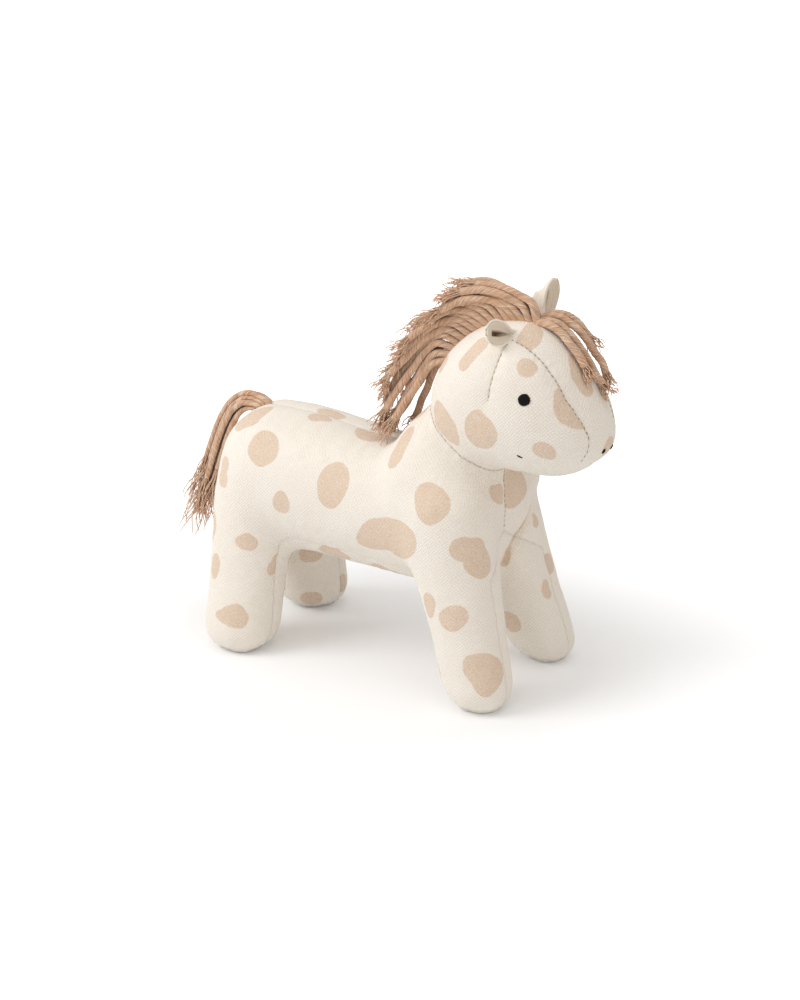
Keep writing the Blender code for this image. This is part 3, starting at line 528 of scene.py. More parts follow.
# %% Table of spots
SPOTS = {"R": (
    (-57, -33, 121, 10.3, 9.5, 9.8, 10.2, 11.1, 11.9, 11.7, 10.6,
     10.4, 10.3, 10, 10.1, 10.8, 10.7, 10.6, 10.7),
    (-74, -19, 133, 7.2, 6.8, 6.3, 5.9, 5.5, 6.8, 10, 14.1, 10.8, 10.6, 10.7, 14.1, 15, 13.9, 12.7, 9.7),
    (-83, -36, 104, 5, 6, 8, 9, 5, 6, 8, 10),
    (-8, -37, 110, 9.4, 10, 11, 12.4, 13.4, 12.7, 11.5, 10.4, 10.1, 10.3, 11.8, 13.3, 13.7, 12, 10.1, 9.4),
    (-40, -42, 95, 5.6, 6, 7.3, 5.9, 6.1, 7, 6.8, 6.4),
    (-37, -6, 136, 5.8, 4.5, 7.7, 5.7, 4.8, 5.3, 6.9, 7),
    (-4, -3, 132, 10.2, 10.2, 10.3, 10.2, 9.7, 9.7, 10.2, 10.6,
     11.1, 11.5, 11.6, 11.2, 10.7, 10.3, 10.2, 10.2),
    (29, -28, 136, 5.7, 5.5, 6.3, 8.6, 12.7, 12.9, 10, 6.8, 5.7, 5.5, 6.3, 8.6, 12.7, 12.9, 10, 6.8),
    (29, -41, 88, 24.5, 25.7, 18.7, 13.6, 12.1, 11.3, 13.1, 15.6,
     18.9, 22.7, 15.4, 10.2, 9.6, 13.3, 15.4, 18.2),
    (59, -45, 114, 10.3, 10.2, 9.8, 10.1, 11, 12.7, 13.5, 12.4, 10.7, 10, 10.2, 11, 11.8, 10.9, 10.4, 10.4),
    (79, -11, 113, 8.3, 6.2, 5.2, 7.2, 6.9, 5.6, 5.9, 9.3),
    (81, -40, 87, 11.1, 9.7, 10.9, 10.4, 10.1, 12.2, 13.9, 13.5, 10.4, 6.4, 7.5, 9.1, 11.4, 14.4, 16.1, 14.1),
    (61, -52, 59, 4.5, 5.7, 6.7, 6.3, 6, 7.2, 8.6, 5.2),
    (77, -52, 55, 8, 8, 7, 7, 9, 9, 8, 7),
    (95, -50, 26, 13.7, 12.9, 11.3, 10.9, 10.9, 11.6, 13.4, 12.3,
     10.7, 9.3, 9.3, 11.6, 13.3, 12.6, 12.1, 13.2),
    (-62, -45, 68, 6.4, 5.1, 5.3, 5.6, 7.4, 5.7, 5, 6.4),
    (-82, -49, 51, 3.9, 5.1, 7.4, 6.1, 5.7, 6.8, 8.3, 5),
    (-50, -33, 53, 3.2, 8.5, 6, 3.9, 5.4, 7.3, 6.2, 4.4),
    (-66, -55, 25, 9.1, 8.2, 8.1, 8.3, 7.5, 6.8, 7.5, 8.6, 12.3, 9.7, 7.4, 6.8, 6.9, 7.6, 8.9, 9),
    (-92, -43, 26, 5.4, 4.5, 5, 6.5, 6.6, 5.5, 4.3, 7.3),
    (-91, -37, 71, 9.5, 9.4, 9.3, 9, 9.2, 10.1, 11.6, 12.4, 11.3, 9.8, 9.1, 9.3, 10.1, 10.8, 10, 9.5),
    (61, -37, 22, 10.7, 6.6, 7.7, 9.4, 11.8, 14.8, 16.6, 14.5, 11.4, 9.9, 11.2, 10.7, 10.4, 12.6, 14.3, 13.9),
    (-96, -14, 114, 4.3, 5.4, 6.4, 6, 5.7, 6.8, 8.2, 5),
    (-96, -21, 93, 5.7, 3.7, 5.1, 7, 5.9, 4.2, 3.1, 8.1),
    (35, -4, 154, 7.2, 6.8, 6.3, 5.9, 5.5, 6.8, 10, 14.1, 10.8, 10.6, 10.7, 14.1, 15, 13.9, 12.6, 9.7),
), "L": (
    (-36, 4, 136, 5, 7, 10, 6, 6, 7, 9, 7),
    (80, 6, 112, 15.5, 15.5, 15.4, 14.7, 13.9, 13.2, 15.5, 14.6,
     14.7, 13.7, 12.5, 12.3, 12.4, 12.8, 13.8, 15.5),
    (-50, 39, 15, 4.7, 5.3, 6.8, 5.9, 4.9, 4.7, 6.2, 6.4),
    (91, 33, 59, 6.4, 6.7, 7, 7.2, 6.7, 6.9, 5.7, 6.1),
    (86, 25, 87, 3.1, 3.6, 4.8, 2.2, 2.5, 3.4, 4, 3.9),
    (67, 40, 117, 5.8, 7.1, 4.2, 3.4, 4.3, 6.4, 5.2, 4.9),
    (24, 21, 138, 8, 7, 8, 8, 7, 7, 9, 9),
    (-42, 30, 68, 8.6, 6.5, 6, 6.1, 6.8, 7.9, 8, 8.1, 7.2, 7.2, 7.3, 6.7, 6, 6.7, 7.6, 10.9),
    (-61, 51, 31, 6.3, 9.3, 13.1, 10, 9.9, 10, 13.1, 14, 12.9, 11.8, 9.1, 6.7, 6.3, 5.9, 5.5, 5.1),
    (69, 53, 40, 7, 7, 8, 8, 7, 7, 7, 7),
    (-89, 45, 40, 6, 8, 10, 7, 6, 7, 10, 6),
    (48, 40, 57, 5.6, 7.4, 8.5, 7.3, 5.3, 4.4, 3.4, 3.2, 5.1, 7.1, 9, 7.7, 5.7, 5.2, 4.6, 4.1),
    (-56, 40, 108, 10, 11.2, 10, 8, 8.4, 9.8, 8.8, 7.8, 7.6, 8.2, 8.4, 7.7, 7.2, 7.3, 7.4, 8.7),
    (-88, 35, 97, 6.2, 7.9, 7, 5.3, 6.2, 5.3, 5.3, 4.6),
    (-60, 55, 7, 4.9, 5.2, 6.4, 5.1, 5.3, 6.1, 5.9, 5.5),
    (-73, 16, 134, 5.4, 6.2, 5.4, 5.7, 5.9, 5.6, 5.5, 5.5),
    (-97, 15, 112, 6.2, 6.2, 5.4, 7.2, 9.3, 8.2, 6.2, 7.2),
    (-23, 38, 79, 4.8, 5.1, 5.3, 7.1, 5.4, 4.7, 6.1, 6.1),
    (-2, 31, 67, 5.7, 7.1, 9, 6.7, 5, 6.2, 9.1, 5.6),
    (82, 57, 17, 7.8, 9.2, 4.7, 5.6, 7.5, 8.7, 4.8, 6),
    (-78, 58, 9, 4.6, 5.8, 5.1, 4.2, 4, 5.4, 5.5, 4.1),
    (65, 50, 85, 7, 8, 7, 7, 6, 8, 10, 9),
    (9, 38, 103, 6.8, 6.9, 5.1, 5.7, 7.3, 6.4, 5.4, 5.1),
    (64, 38, 17, 6.1, 5.1, 4.9, 6.5, 6.6, 4.9, 5.5, 7),
    (39, 43, 96, 4.8, 6.2, 6.3, 5.3, 4.1, 7, 5.2, 4.3),
    (-70, 48, 61, 4.9, 6.2, 7.3, 6.9, 6.6, 7.9, 9.4, 5.7),
    (-32, 35, 117, 8.4, 6.1, 5, 3.9, 3.7, 5.8, 8.2, 10.4, 8.9, 6.6, 6, 5.3, 4.7, 6.4, 8.5, 9.8),
    (-13, 39, 102, 7, 7, 6, 7, 7, 7, 8, 8),
    (-9, 24, 124, 8.6, 6.3, 5.5, 5, 5.2, 6.2, 7.5, 8.1),
    (-54, 20, 132, 5.9, 4.6, 4.9, 5.1, 6.8, 5.2, 4.5, 5.9),
    (78, 50, 64, 5.6, 5.9, 6.2, 6.3, 5.9, 6, 5.1, 5.3),
    (47, 42, 116, 8.1, 6, 5.1, 7, 6.7, 5.4, 5.8, 9),
    (27, 33, 70, 6.1, 6.5, 8, 6.4, 6.6, 7.6, 7.4, 6.9),
    (91, 44, 41, 4.9, 5.9, 7.1, 4.3, 3.4, 4.4, 6.4, 5.2),
    (-62, 42, 79, 4.7, 6, 5.2, 4.3, 4.1, 5.5, 5.6, 4.2),
    (-92, 36, 74, 7, 7, 6, 8, 10, 9, 7, 8),
    (-88, 2, 129, 6.2, 6.5, 6.5, 5.9, 6.2, 7.1, 6.8, 6.5),
    (-78, 32, 116, 4.9, 5.4, 7.1, 7.2, 6, 4.7, 8, 5.9),
    (-93, 43, 17, 6, 5.2, 6.8, 6.7, 5.3, 5.6, 5.9, 7.8),
    (23, 33, 116, 6.2, 5.1, 5.5, 6.5, 7, 5.6, 5.8, 8),
), "B": (
    (-58, 12, 41, 9, 8, 6, 7, 6, 6, 5.2, 7),
    (-61, 18, 9, 6.8, 6.8, 6.2, 6.5, 7.4, 7.1, 6.8, 6.5),
    (-16, -26, 64, 11, 8, 7, 8, 10, 8, 7, 9),
    (94, 25, 47, 3.5, 4.3, 6.6, 4.4, 3.6, 3.8, 5.3, 6),
    (77, 15, 27, 5.3, 5.6, 6.6, 8.1, 8.6, 9.2, 6.7, 5.9),
    (49, 20, 56, 5.4, 6.4, 6, 5.7, 6.9, 8.2, 5, 4.3),
    (-64, -17, 11, 5.1, 4.2, 3.2, 3.1, 4.8, 6.8, 8.6, 7.4, 5.4, 4.9, 4.4, 3.9, 5.3, 7.1, 8.1, 7),
    (-93, -28, 12, 9, 9, 7, 7, 8, 8, 7, 7),
    (53, -22, 49, 11.2, 11, 11.1, 12.4, 13.4, 14.3, 13.4, 12.3, 11.7, 11.5, 11.5, 10.9, 10.5, 10.4, 12.5, 12),
    (-14, 3, 55, 13, 12.3, 11.6, 13.7, 12.9, 13, 12.1, 11, 10.9, 10.9, 11.3, 12.2, 13.7, 13.7, 13.7, 13.6),
    (-96, 8, 76, 5.7, 5.3, 4.9, 5, 5.3, 5.6, 6.1, 6.6),
    (-71, -8, 39, 5.1, 5.3, 5.5, 5.2, 5.1, 5.1, 5, 5.7),
    (90, -19, 42, 4.7, 5.9, 8.6, 5.2, 5.4, 6.7, 8.5, 6.3),
    (16, 14, 57, 6.1, 5.9, 5.6, 5.8, 5.8, 5.3, 5.6, 6.4),
    (-83, 17, 18, 6.1, 6.1, 5.3, 7.1, 9.1, 8.1, 6.1, 7.1),
    (-94, -19, 52, 6.2, 7.5, 9.1, 5.4, 4.3, 5.5, 8.1, 6.6),
    (-81, 4, 58, 9, 7, 6, 8, 10, 7, 6, 7),
    (-56, -9, 57, 4.8, 6, 8.8, 12.4, 9.5, 9.3, 9.4, 12.4, 13.2, 12.2, 11.1, 8.6, 6.3, 6, 5.6, 5.2),
    (56, 28, 36, 8, 7, 7, 6, 8, 10, 9, 7),
    (16, -18, 59, 9.4, 9.4, 10, 11.5, 10.6, 9.2, 8, 8, 10, 11.4, 10.8, 10.4, 11.4, 11.8, 11.1, 9.7),
    (-34, -13, 57, 4.7, 4.6, 4.7, 4.6, 5.2, 4.6, 4.9, 5),
    (-55, -20, 31, 5.3, 5.5, 7.5, 5.9, 4.9, 5.2, 6.2, 6.6),
    (66, 9, 54, 5.3, 4.4, 4.7, 5.5, 6, 4.7, 4.9, 6.7),
    (-42, 12, 58, 5.6, 4.4, 4.7, 4.9, 6.5, 5, 4.4, 5.6),
    (-95, 22, 58, 6.1, 7.9, 7, 5.2, 6.1, 5.2, 5.2, 4.5),
    (80, -16, 24, 8.4, 6.3, 5.3, 7.3, 7, 5.7, 6, 9.4),
    (96, -22, 8, 6.7, 5.8, 5.3, 4.9, 5.1, 5.4, 5.7, 6.2),
    (-88, -17, 34, 5, 5.1, 4.9, 4.8, 4.8, 4.7, 5.4, 4.8),
    (-49, 29, 46, 7, 5.7, 5.3, 6.4, 7.8, 4.7, 3.7, 4.8),
    (33, 5, 55, 6.1, 4.8, 5, 6.9, 5.3, 4.4, 4.8, 5.6),
), "H": (
    (105, -28, 192, 6, 5.3, 5.6, 5.7, 5.4, 5.3, 5.4, 5.3),
    (127, -22, 171, 7.8, 7.7, 7.7, 8.2, 12.4, 12.9, 10.3, 9.1, 8.4, 8.1, 8, 8.1, 9.4, 11.3, 14.3, 11.7),
    (118, -32, 150, 5.9, 4.9, 5.2, 6.2, 6.6, 5.3, 5.5, 7.5),
    (83, -37, 157, 10.5, 10, 9.7, 9.6, 11.5, 11, 10.3, 10.1, 10.2, 11.3, 12.3, 13.1, 12.3, 11.3, 10.7, 10.5),
    (72, -26, 194, 4.9, 6.3, 9.8, 11, 10.3, 6.8, 5.1, 4.6, 4.9, 6.3, 9.8, 11, 10.3, 6.8, 5.1, 4.6),
    (59, -32, 155, 8.4, 7.5, 6.9, 7.8, 8.7, 11.5, 14.1, 14.4, 15, 15, 12.6, 12.7, 13.1, 13.9, 11.6, 9.2),
    (118, -6, 129, 7, 7, 8, 8, 7, 7, 6, 7),
    (58, -2, 198, 5.3, 5.3, 4.6, 6.1, 7.9, 7, 5.3, 6.1),
    (49, -17, 183, 5.4, 5.3, 5.4, 5.2, 6, 5.3, 5.6, 5.7),
    (96, -13, 130, 6.8, 5.3, 4.6, 5.9, 5.9, 4.6, 4.9, 5.1),
), "K": (
    (62, 32, 173, 5.4, 6, 6.5, 11.2, 13.3, 8.6, 7.7, 6.7, 6, 7.3, 8.5, 9.7, 9.8, 6.8, 4.2, 4.8),
    (122, 18, 136, 6.7, 7.4, 10.4, 11.8, 8.7, 6.3, 6.1, 6, 5.8, 6.6, 9.1, 10.7, 10.1, 7.5, 7, 6.8),
    (84, 36, 155, 6.4, 4.8, 6, 8.8, 5.3, 5.5, 6.8, 8.6),
    (45, 22, 165, 6.5, 5.7, 4.7, 4.5, 6, 6.1, 4.6, 5.1),
    (77, 23, 200, 4.4, 4.6, 4.9, 5.2, 5.6, 6, 5.2, 4.8),
    (60, 21, 191, 5.2, 4, 6.9, 5.1, 4.3, 4.7, 6.1, 6.2),
    (43, 0, 179, 4.9, 4.6, 6.1, 6.2, 4.7, 5.2, 6.7, 5.8),
    (109, 34, 178, 7, 8.8, 6.6, 4.9, 6.1, 9, 5.5, 5.6),
    (99, 17, 132, 5, 6.6, 5.1, 4.4, 5.7, 5.7, 4.5, 4.7),
    (63, 31, 147, 8.7, 6.6, 6, 6.2, 6.8, 8, 8.1, 8.1, 7.3, 7.2, 7.4, 6.7, 6.1, 6.7, 7.7, 11),
    (126, 29, 154, 5.8, 4.1, 3, 7.9, 5.5, 3.6, 5, 6.8),
    (106, 32, 145, 5, 6, 7, 8, 9, 9, 7, 6),
    (88, 38, 176, 3.9, 3.7, 5.8, 8.1, 10.3, 8.8, 6.5, 5.9, 5.3, 4.7, 6.3, 8.4, 9.7, 8.4, 6.1, 5),
    (85, 2, 209, 5.8, 4.6, 4.8, 5.1, 6.7, 5.2, 4.5, 5.8),
), "F": (
    (98, -16, 205, 9.2, 9.3, 8.5, 8, 8.1, 8.2, 9.6, 11.1, 12.4, 11.1, 8.9, 9.4, 10.9, 9.8, 8.7, 8.5),
    (125, -6, 185, 7.5, 7.4, 8.1, 11.5, 13, 9.6, 7, 6.8, 6.6, 6.4, 7.3, 10.1, 11.8, 11.1, 8.3, 7.7),
    (141, -1, 146, 5.8, 6.3, 6.8, 5.8, 5.4, 5, 5.2, 5.5),
    (128, 17, 172, 6.3, 5.3, 5.6, 5.9, 6.2, 6.5, 6.6, 6.2),
    (105, 12, 202, 6.5, 7.5, 7.3, 6.8, 6, 6.4, 7.9, 6.3),
)}
print("spots:", {panel: len(rows) for panel, rows in SPOTS.items()})

# %% How far inside a spot each point lies, and the painted shade along the shoulder crease
UNPRINTED = -9.0
SPOT_MARGIN = 8
# Width of the painted crease shade along the shoulder fold, in mm, and how it widens lower down.
CREASE_SHADE_HALF = 0.9
CREASE_SHADE_FOOT, CREASE_SHADE_SPREAD = 76, 0.22


def store(piece, name, values):
    """Keeps one number, or one vector, for each vertex of a piece."""
    kind = "FLOAT_VECTOR" if values.ndim == 2 else "FLOAT"
    made = piece.data.attributes.new(name, kind, "POINT")
    made.data.foreach_set("vector" if values.ndim == 2 else "value", values.astype(np.float32).ravel())


def curve_through(a, b, c, d, t):
    """A smooth curve from b at 0 to c at 1, which a and d steer."""
    return b + t * (c - a + t * (2 * a - 5 * b + 4 * c - d + t * (3 * b - a - 3 * c + d))) / 2


def spot_depth(points, middle, normal, reaches):
    """How far points lie inside one spot, whose outline is a smooth curve through its reaches."""
    up = UP if abs(normal.z) < 0.8 else AHEAD
    up = (up - normal * normal.dot(up)).normalized()
    side = up.cross(normal)
    away = points - np.array(middle)
    count = len(reaches)
    angle = np.arctan2(away @ np.array(up), away @ np.array(side)) / (2 * pi) * count % count
    first = angle.astype(int) % count
    ring = np.array(reaches, float)
    reach = curve_through(*(ring[(first + k) % count] for k in (-1, 0, 1, 2)), angle - angle.astype(int))
    return reach - np.linalg.norm(away, axis=1)


depths = {panel: np.full(len(points), UNPRINTED) for panel in SPOTS}
for panel, rows in SPOTS.items():
    for x, y, z, *reaches in rows:
        middle, normal, _, _ = skin_tree.find_nearest(Vector((x, y, z)) * MM)
        middle = middle / MM
        close = np.linalg.norm(points - np.array(middle), axis=1) < max(reaches) + SPOT_MARGIN
        inside = spot_depth(points[close], middle, normal, reaches)
        depths[panel][close] = np.maximum(depths[panel][close], inside)
# A tan strip along the fold of the left shoulder, wider lower down, is painted shade in the crease. It is
# stored with the spots of the left side and the belly.
crease_shade = CREASE_SHADE_HALF - fold + np.clip(CREASE_SHADE_FOOT - points[:, 2], 0, 8) * CREASE_SHADE_SPREAD
for panel in "LB":
    depths[panel] = np.maximum(depths[panel], crease_shade)
for panel, values in depths.items():
    store(skin, "spots_and_crease_shade_" + panel, values)
for seam, values in seam_distances(points).items():
    store(skin, "seam_" + seam, values)
store(skin, "weave_place", points)
facing = abs(normals) ** 4
store(skin, "weave_facing", facing / facing.sum(axis=1, keepdims=True))
print("share of the skin inside spots:", round(float((depths["R"] > 0).mean()), 3))

# %% [markdown]
# ## Canvas
# The cloth is a plain-weave cotton canvas, about 12 threads to the centimetre, matt and a little fuzzy.
# Its colour is a warm cream and the spots are a tan pigment print that doesn't reach the bottom of the
# weave, so they look grained. The weave is three flat patterns of crossed threads, each seen along one
# axis, mixed by the way that the cloth faces. Real threads are 0.8 mm apart, and they are drawn 0.95 mm
# apart, because the true weave is finer than the picture.

# %% Helper nodes for cloth
WEAVE = 0.95


def stored(tree, name, kind="Fac"):
    """A value that the mesh carries."""
    return add(tree, "Attribute", attribute_name=name).outputs[kind]


def weave_height(tree, place, spacing):
    """Height of a plain weave, 0 in the gaps and 1 on the threads, with threads every spacing in mm."""
    wander = add(tree, "TexNoise", {"Vector": place, "Scale": 0.25, "Detail": 2.0})
    shift = add(tree, "VectorMath", {0: wander.outputs["Color"], "Scale": spacing * 1.6}, operation="SCALE")
    moved = add(tree, "VectorMath", {0: place, 1: shift.outputs[0]}, operation="ADD")
    scaled = add(tree, "VectorMath", {0: moved.outputs[0], "Scale": pi / spacing}, operation="SCALE")
    waves = add(tree, "VectorMath", {0: scaled.outputs[0]}, operation="SINE")
    x, y, z = add(tree, "SeparateXYZ", {0: waves.outputs[0]}).outputs
    pairs = [calc(tree, "MULTIPLY", a, b) for a, b in ((y, z), (x, z), (x, y))]
    joined = add(tree, "CombineXYZ", dict(enumerate(pairs)))
    mixed = add(tree, "VectorMath", {0: joined.outputs[0], 1: stored(tree, "weave_facing", "Vector")},
                operation="DOT_PRODUCT")
    return calc(tree, "MULTIPLY_ADD", mixed.outputs["Value"], 0.5, 0.5)


def choose(tree, above, then, otherwise):
    """One value where another is above nought, and a second value elsewhere."""
    test = calc(tree, "GREATER_THAN", above, 0.0)
    return add(tree, "Mix", {0: test, 2: otherwise, 3: then}, data_type="FLOAT").outputs[0]


# %% Canvas with printed spots
canvas, tree, shader = new_material("printed_cotton_canvas")
seam = {name: stored(tree, "seam_" + name) for name in seam_distances(points[:2])}
spot = {panel: stored(tree, "spots_and_crease_shade_" + panel) for panel in SPOTS}
body_side = choose(tree, seam["middle"], spot["L"], spot["R"])
head_side = choose(tree, seam["middle"], spot["K"], spot["H"])
on_body = choose(tree, seam["belly"], spot["B"], body_side)
on_head = choose(tree, seam["forehead"], spot["F"], head_side)
inside = choose(tree, seam["neck"], on_head, on_body)
place = stored(tree, "weave_place", "Vector")
height = weave_height(tree, place, WEAVE)
ragged = calc(tree, "MULTIPLY_ADD", grain(tree, place, 1.2, 3.0), 1.2, -0.6)
# On the left side and the belly this also takes in the painted crease shade along the shoulder fold.
printed = ramp(tree, calc(tree, "ADD", inside, ragged), -0.2, 0.45)
print("panels chosen by seam side:", list(spot))

# %% Cloth colour
speckle = grain(tree, place, 1.5, 4.0, Roughness=0.85)
sharp = ramp(tree, speckle, 0.43, 0.55)
taken = calc(tree, "MULTIPLY_ADD", sharp, 0.66, calc(tree, "MULTIPLY_ADD", height, 0.34, 0.12))
cream = mix(tree, grain(tree, place, 0.035, 2.0), "#F7F0E5", "#FBF6ED")
tan = mix(tree, speckle, "#D3AF8E", "#E8CDB3")
cloth = mix(tree, calc(tree, "MULTIPLY", printed, taken), cream, tan)
grained = mix(tree, calc(tree, "MULTIPLY_ADD", sharp, -0.14, 0.14), cloth, "#CDB9A2")
# The gaps between the threads are darkened towards #B49C82: painted shade in the weave's hollows.
weave_gap_shaded = mix(tree, ramp(tree, height, 0.1, 0.6, 0.2, 0.0), grained, "#B49C82")
print("weave drawn at", WEAVE, "mm, coarser than the real 0.8 mm, so that it shows")

# %% Seam lines, painted shade in the seam valleys
CLEAR_SHADE, QUIET_SHADE = 0.26, 0.12


def size_of(name):
    """Distance to a seam without its sign."""
    return calc(tree, "ABSOLUTE", seam[name])


def nearer(*values):
    """The least of some values."""
    least = values[0]
    for value in values[1:]:
        least = calc(tree, "MINIMUM", least, value)
    return least


gusset = calc(tree, "ADD", size_of("gusset"), seam["gusset_end"])
dart = calc(tree, "ADD", size_of("dart"), seam["dart_end"])
off_head = choose(tree, seam["neck"], 0.0, FAR)
off_body = choose(tree, seam["neck"], FAR, 0.0)
clear = nearer(size_of("neck"), calc(tree, "ADD", nearer(gusset, dart), off_head))
quiet_head = calc(tree, "ADD", choose(tree, seam["forehead"], FAR, size_of("middle")), off_head)
quiet_body = nearer(size_of("belly"), choose(tree, seam["belly"], FAR, size_of("middle")), size_of("sole"))
quiet = nearer(quiet_head, calc(tree, "ADD", quiet_body, off_body))
# Each seam gets a thin darker line towards #A98E74: painted shade in the seam's valley, clearer at the neck,
# gusset and dart, faint at the others.
lines = [ramp(tree, distance, 0.1, 0.5, darkest, 0.0, interpolation_type="SMOOTHSTEP")
         for distance, darkest in ((clear, CLEAR_SHADE), (quiet, QUIET_SHADE))]
sewn = mix(tree, calc(tree, "MAXIMUM", *lines), weave_gap_shaded, "#A98E74")
tree.links.new(sewn, shader.inputs["Base Color"])

# %% Weave and seam relief
fuzz = calc(tree, "MULTIPLY", grain(tree, place, 3.5, 3.0), 0.5)
valley = ramp(tree, nearer(clear, quiet), 0.0, 0.8, -1.6, 0.0, interpolation_type="SMOOTHSTEP")
emboss(tree, shader, calc(tree, "ADD", calc(tree, "ADD", height, fuzz), valley), 0.8, 0.25)
set_inputs(shader, Roughness=0.92, Specular_IOR_Level=0.2, Sheen_Weight=0.12, Sheen_Roughness=0.6)
skin.data.materials.append(canvas)
print("canvas nodes:", len(tree.nodes))

# %% [markdown]
# ## The skin's placement is baked in
# The head turns on the neck seam, and the cloth can't be cut there. The skin follows neither the
# body nor the head: its placement is only baked into its mesh.


def hang_across_neck(piece):
    """Bakes a piece's placement into its mesh; the piece follows neither the body nor the head."""
    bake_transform(piece)


hang_across_neck(skin)
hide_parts(*CLOTH_NODES)

# %% [markdown]
# ## Ears
# Each ear is a leaf of two layers of cloth, folded in half at its base and sewn there, so that it makes a
# cup: a closed slot near the head, opening to a shallow rounded tip. A flat grid is bent into that cup
# and given a wall. The outer layer is the canvas and the lining is a plain ribbed cotton inside it. The
# left ear stands up, and the right one has flopped outwards.

# %% Shape one layer of an ear
CUP_PLACES = (-0.2, 0.0, 0.15, 0.35, 0.6, 0.72, 0.85, 0.94, 1.0)
CUP_WIDTHS = (0.8, 1.4, 3.4, 5.2, 6.0, 5.7, 4.6, 3.1, 1.2)
WALL_DEPTHS = (2.2, 2.6, 3.0, 3.2, 3.0, 2.6, 1.8, 0.9, 0.3)
SLOT_DEPTHS = (9.0, 9.0, 9.0, 8.5, 7.0, 2.9, 1.9, 1.0, 0.3)
CUP_ROOT = CUP_PLACES[0]
SLOT_SHARE = 0.34
SLOT_EDGE = 0.4
EAR_CLOTH = 0.9
EARS = {"right": ((-0.366, -0.906, 0.215), (0.917, -0.305, 0.269), (90.6, -17.6, 205.2), 17.0, 1.0),
        "left": ((0.068, 0.213, 0.975), (0.984, 0.046, 0.172), (90.8, 22.0, 203.0), 22.5, 1.3)}


def ear_layer(name, aim, opening, base, length, breadth, grow):
    """A cup of cloth along aim, open towards opening, in mm: grow is how far it lies outside the lining."""
    bpy.ops.object.select_all(action="DESELECT")
    bpy.ops.mesh.primitive_grid_add(x_subdivisions=36, y_subdivisions=30, size=2)
    leaf = bpy.context.active_object
    leaf.name = name
    aim = Vector(aim).normalized()
    opening = (Vector(opening) - aim * aim.dot(Vector(opening))).normalized()
    across = aim.cross(opening)
    folded = []
    for vertex in leaf.data.vertices:
        u, along = vertex.co.x, CUP_ROOT + (1 - CUP_ROOT) * (vertex.co.y + 1) / 2
        width, wall, slot = (np.interp(along, CUP_PLACES, row) * breadth
                             for row in (CUP_WIDTHS, WALL_DEPTHS, SLOT_DEPTHS))
        side = abs(u)
        if side > SLOT_EDGE:
            outer = (side - SLOT_EDGE) / (1 - SLOT_EDGE)
            out = SLOT_SHARE + (1 - SLOT_SHARE) * outer
            down = wall * (1 - outer ** 1.6)
        else:
            out = SLOT_SHARE * (side / SLOT_EDGE) ** 0.4
            down = wall + (slot - wall) * (1 - side / SLOT_EDGE) ** 0.6
        out = (out * width + grow * min(1, side * 3)) * (1 if u > 0 else -1)
        vertex.co = (Vector(base) + aim * along * (length + grow * 0.6) + across * out
                     - opening * (down + grow * (1 - side ** 4))) * MM
        folded.append(down)
    store(leaf, "fold_depth", np.array(folded))
    wall = leaf.modifiers.new("wall", "SOLIDIFY")
    wall.thickness = EAR_CLOTH * MM
    wall.offset = 0
    rolled = leaf.modifiers.new("rolled_edge", "BEVEL")
    rolled.width = EAR_CLOTH * 0.45 * MM
    rolled.segments = 2
    leaf.modifiers.new("relax", "SMOOTH").iterations = 2
    finer = leaf.modifiers.new("finer", "SUBSURF")
    finer.levels = finer.render_levels = 1
    apply_all(leaf)
    bpy.ops.object.shade_smooth()
    return leaf


# %% Ear materials
def ribbed_cotton(name, rib, fleck, dark, pale):
    """Plain cotton with ribs and flecks: its material, tree and shader, and its colour before any shade."""
    made, tree, shader = new_material(name)
    place = object_place(tree)
    ribs = add(tree, "TexWave", {"Vector": place, **rib}).outputs["Fac"]
    flecks = grain(tree, place, fleck, 3.0)
    emboss(tree, shader, calc(tree, "ADD", ribs, flecks), 0.5, 0.15)
    return made, tree, shader, mix(tree, flecks, dark, pale)


lining, tree, shader, plain = ribbed_cotton(
    "plain_cotton_lining", {"Scale": 330.0, "Distortion": 1.2, "Detail": 2.0}, 900.0, "#DFD0BC", "#EFE6D8")
shadowed = mix(tree, ramp(tree, stored(tree, "fold_depth"), 3.2, 7.5, 0.0, 0.8), plain, "#8A6342")
tree.links.new(shadowed, shader.inputs["Base Color"])
set_inputs(shader, Roughness=0.95, Specular_IOR_Level=0.15)
ear_canvas, tree, shader, plain = ribbed_cotton(
    "cream_cotton_canvas", {"Scale": 390.0, "Distortion": 0.8, "Detail": 1.0}, 1100.0, "#F4EBDE", "#FCF7EE")
tree.links.new(plain, shader.inputs["Base Color"])
set_inputs(shader, Roughness=0.92, Specular_IOR_Level=0.2)

# %% Sew on the ears
for flank, shape in EARS.items():
    for part, grow, cloth, node, slot in (("canvas", 1.0, ear_canvas, "outer", "canvas"),
                                          ("inside", 0.0, lining, "lining", "ear_lining")):
        piece = ear_layer("ear_" + flank + "_" + part, *shape, grow)
        piece.data.materials.append(cloth)
        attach(piece, "ear_" + flank)
        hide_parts("ear_" + flank + "_" + node)
    low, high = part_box("ear_" + flank + "_outer")
    print("ear", flank, "packed from", [round(v / MM) for v in low], "to", [round(v / MM) for v in high])

# %% [markdown]
# ## Eyes, nostrils and mouth
# All of the face is embroidered in black cotton. An eye is a round of satin stitch: parallel threads laid
# side by side over a slight dome, each as long as the round is wide there. So it is built from threads,
# thin tubes that arch over the dome, and not from a disc.

# %% Black thread material
thread_black, tree, shader = new_material("black_embroidery_cotton")
fibre = grain(tree, object_place(tree), 2500.0, 3.0)
tree.links.new(mix(tree, fibre, "#0A0807", "#1B1715"), shader.inputs["Base Color"])
emboss(tree, shader, fibre, 0.5, 0.08)
set_inputs(shader, Roughness=0.75, Specular_IOR_Level=0.2)

# %% Threads from lists of points
THIN_END = 0.55


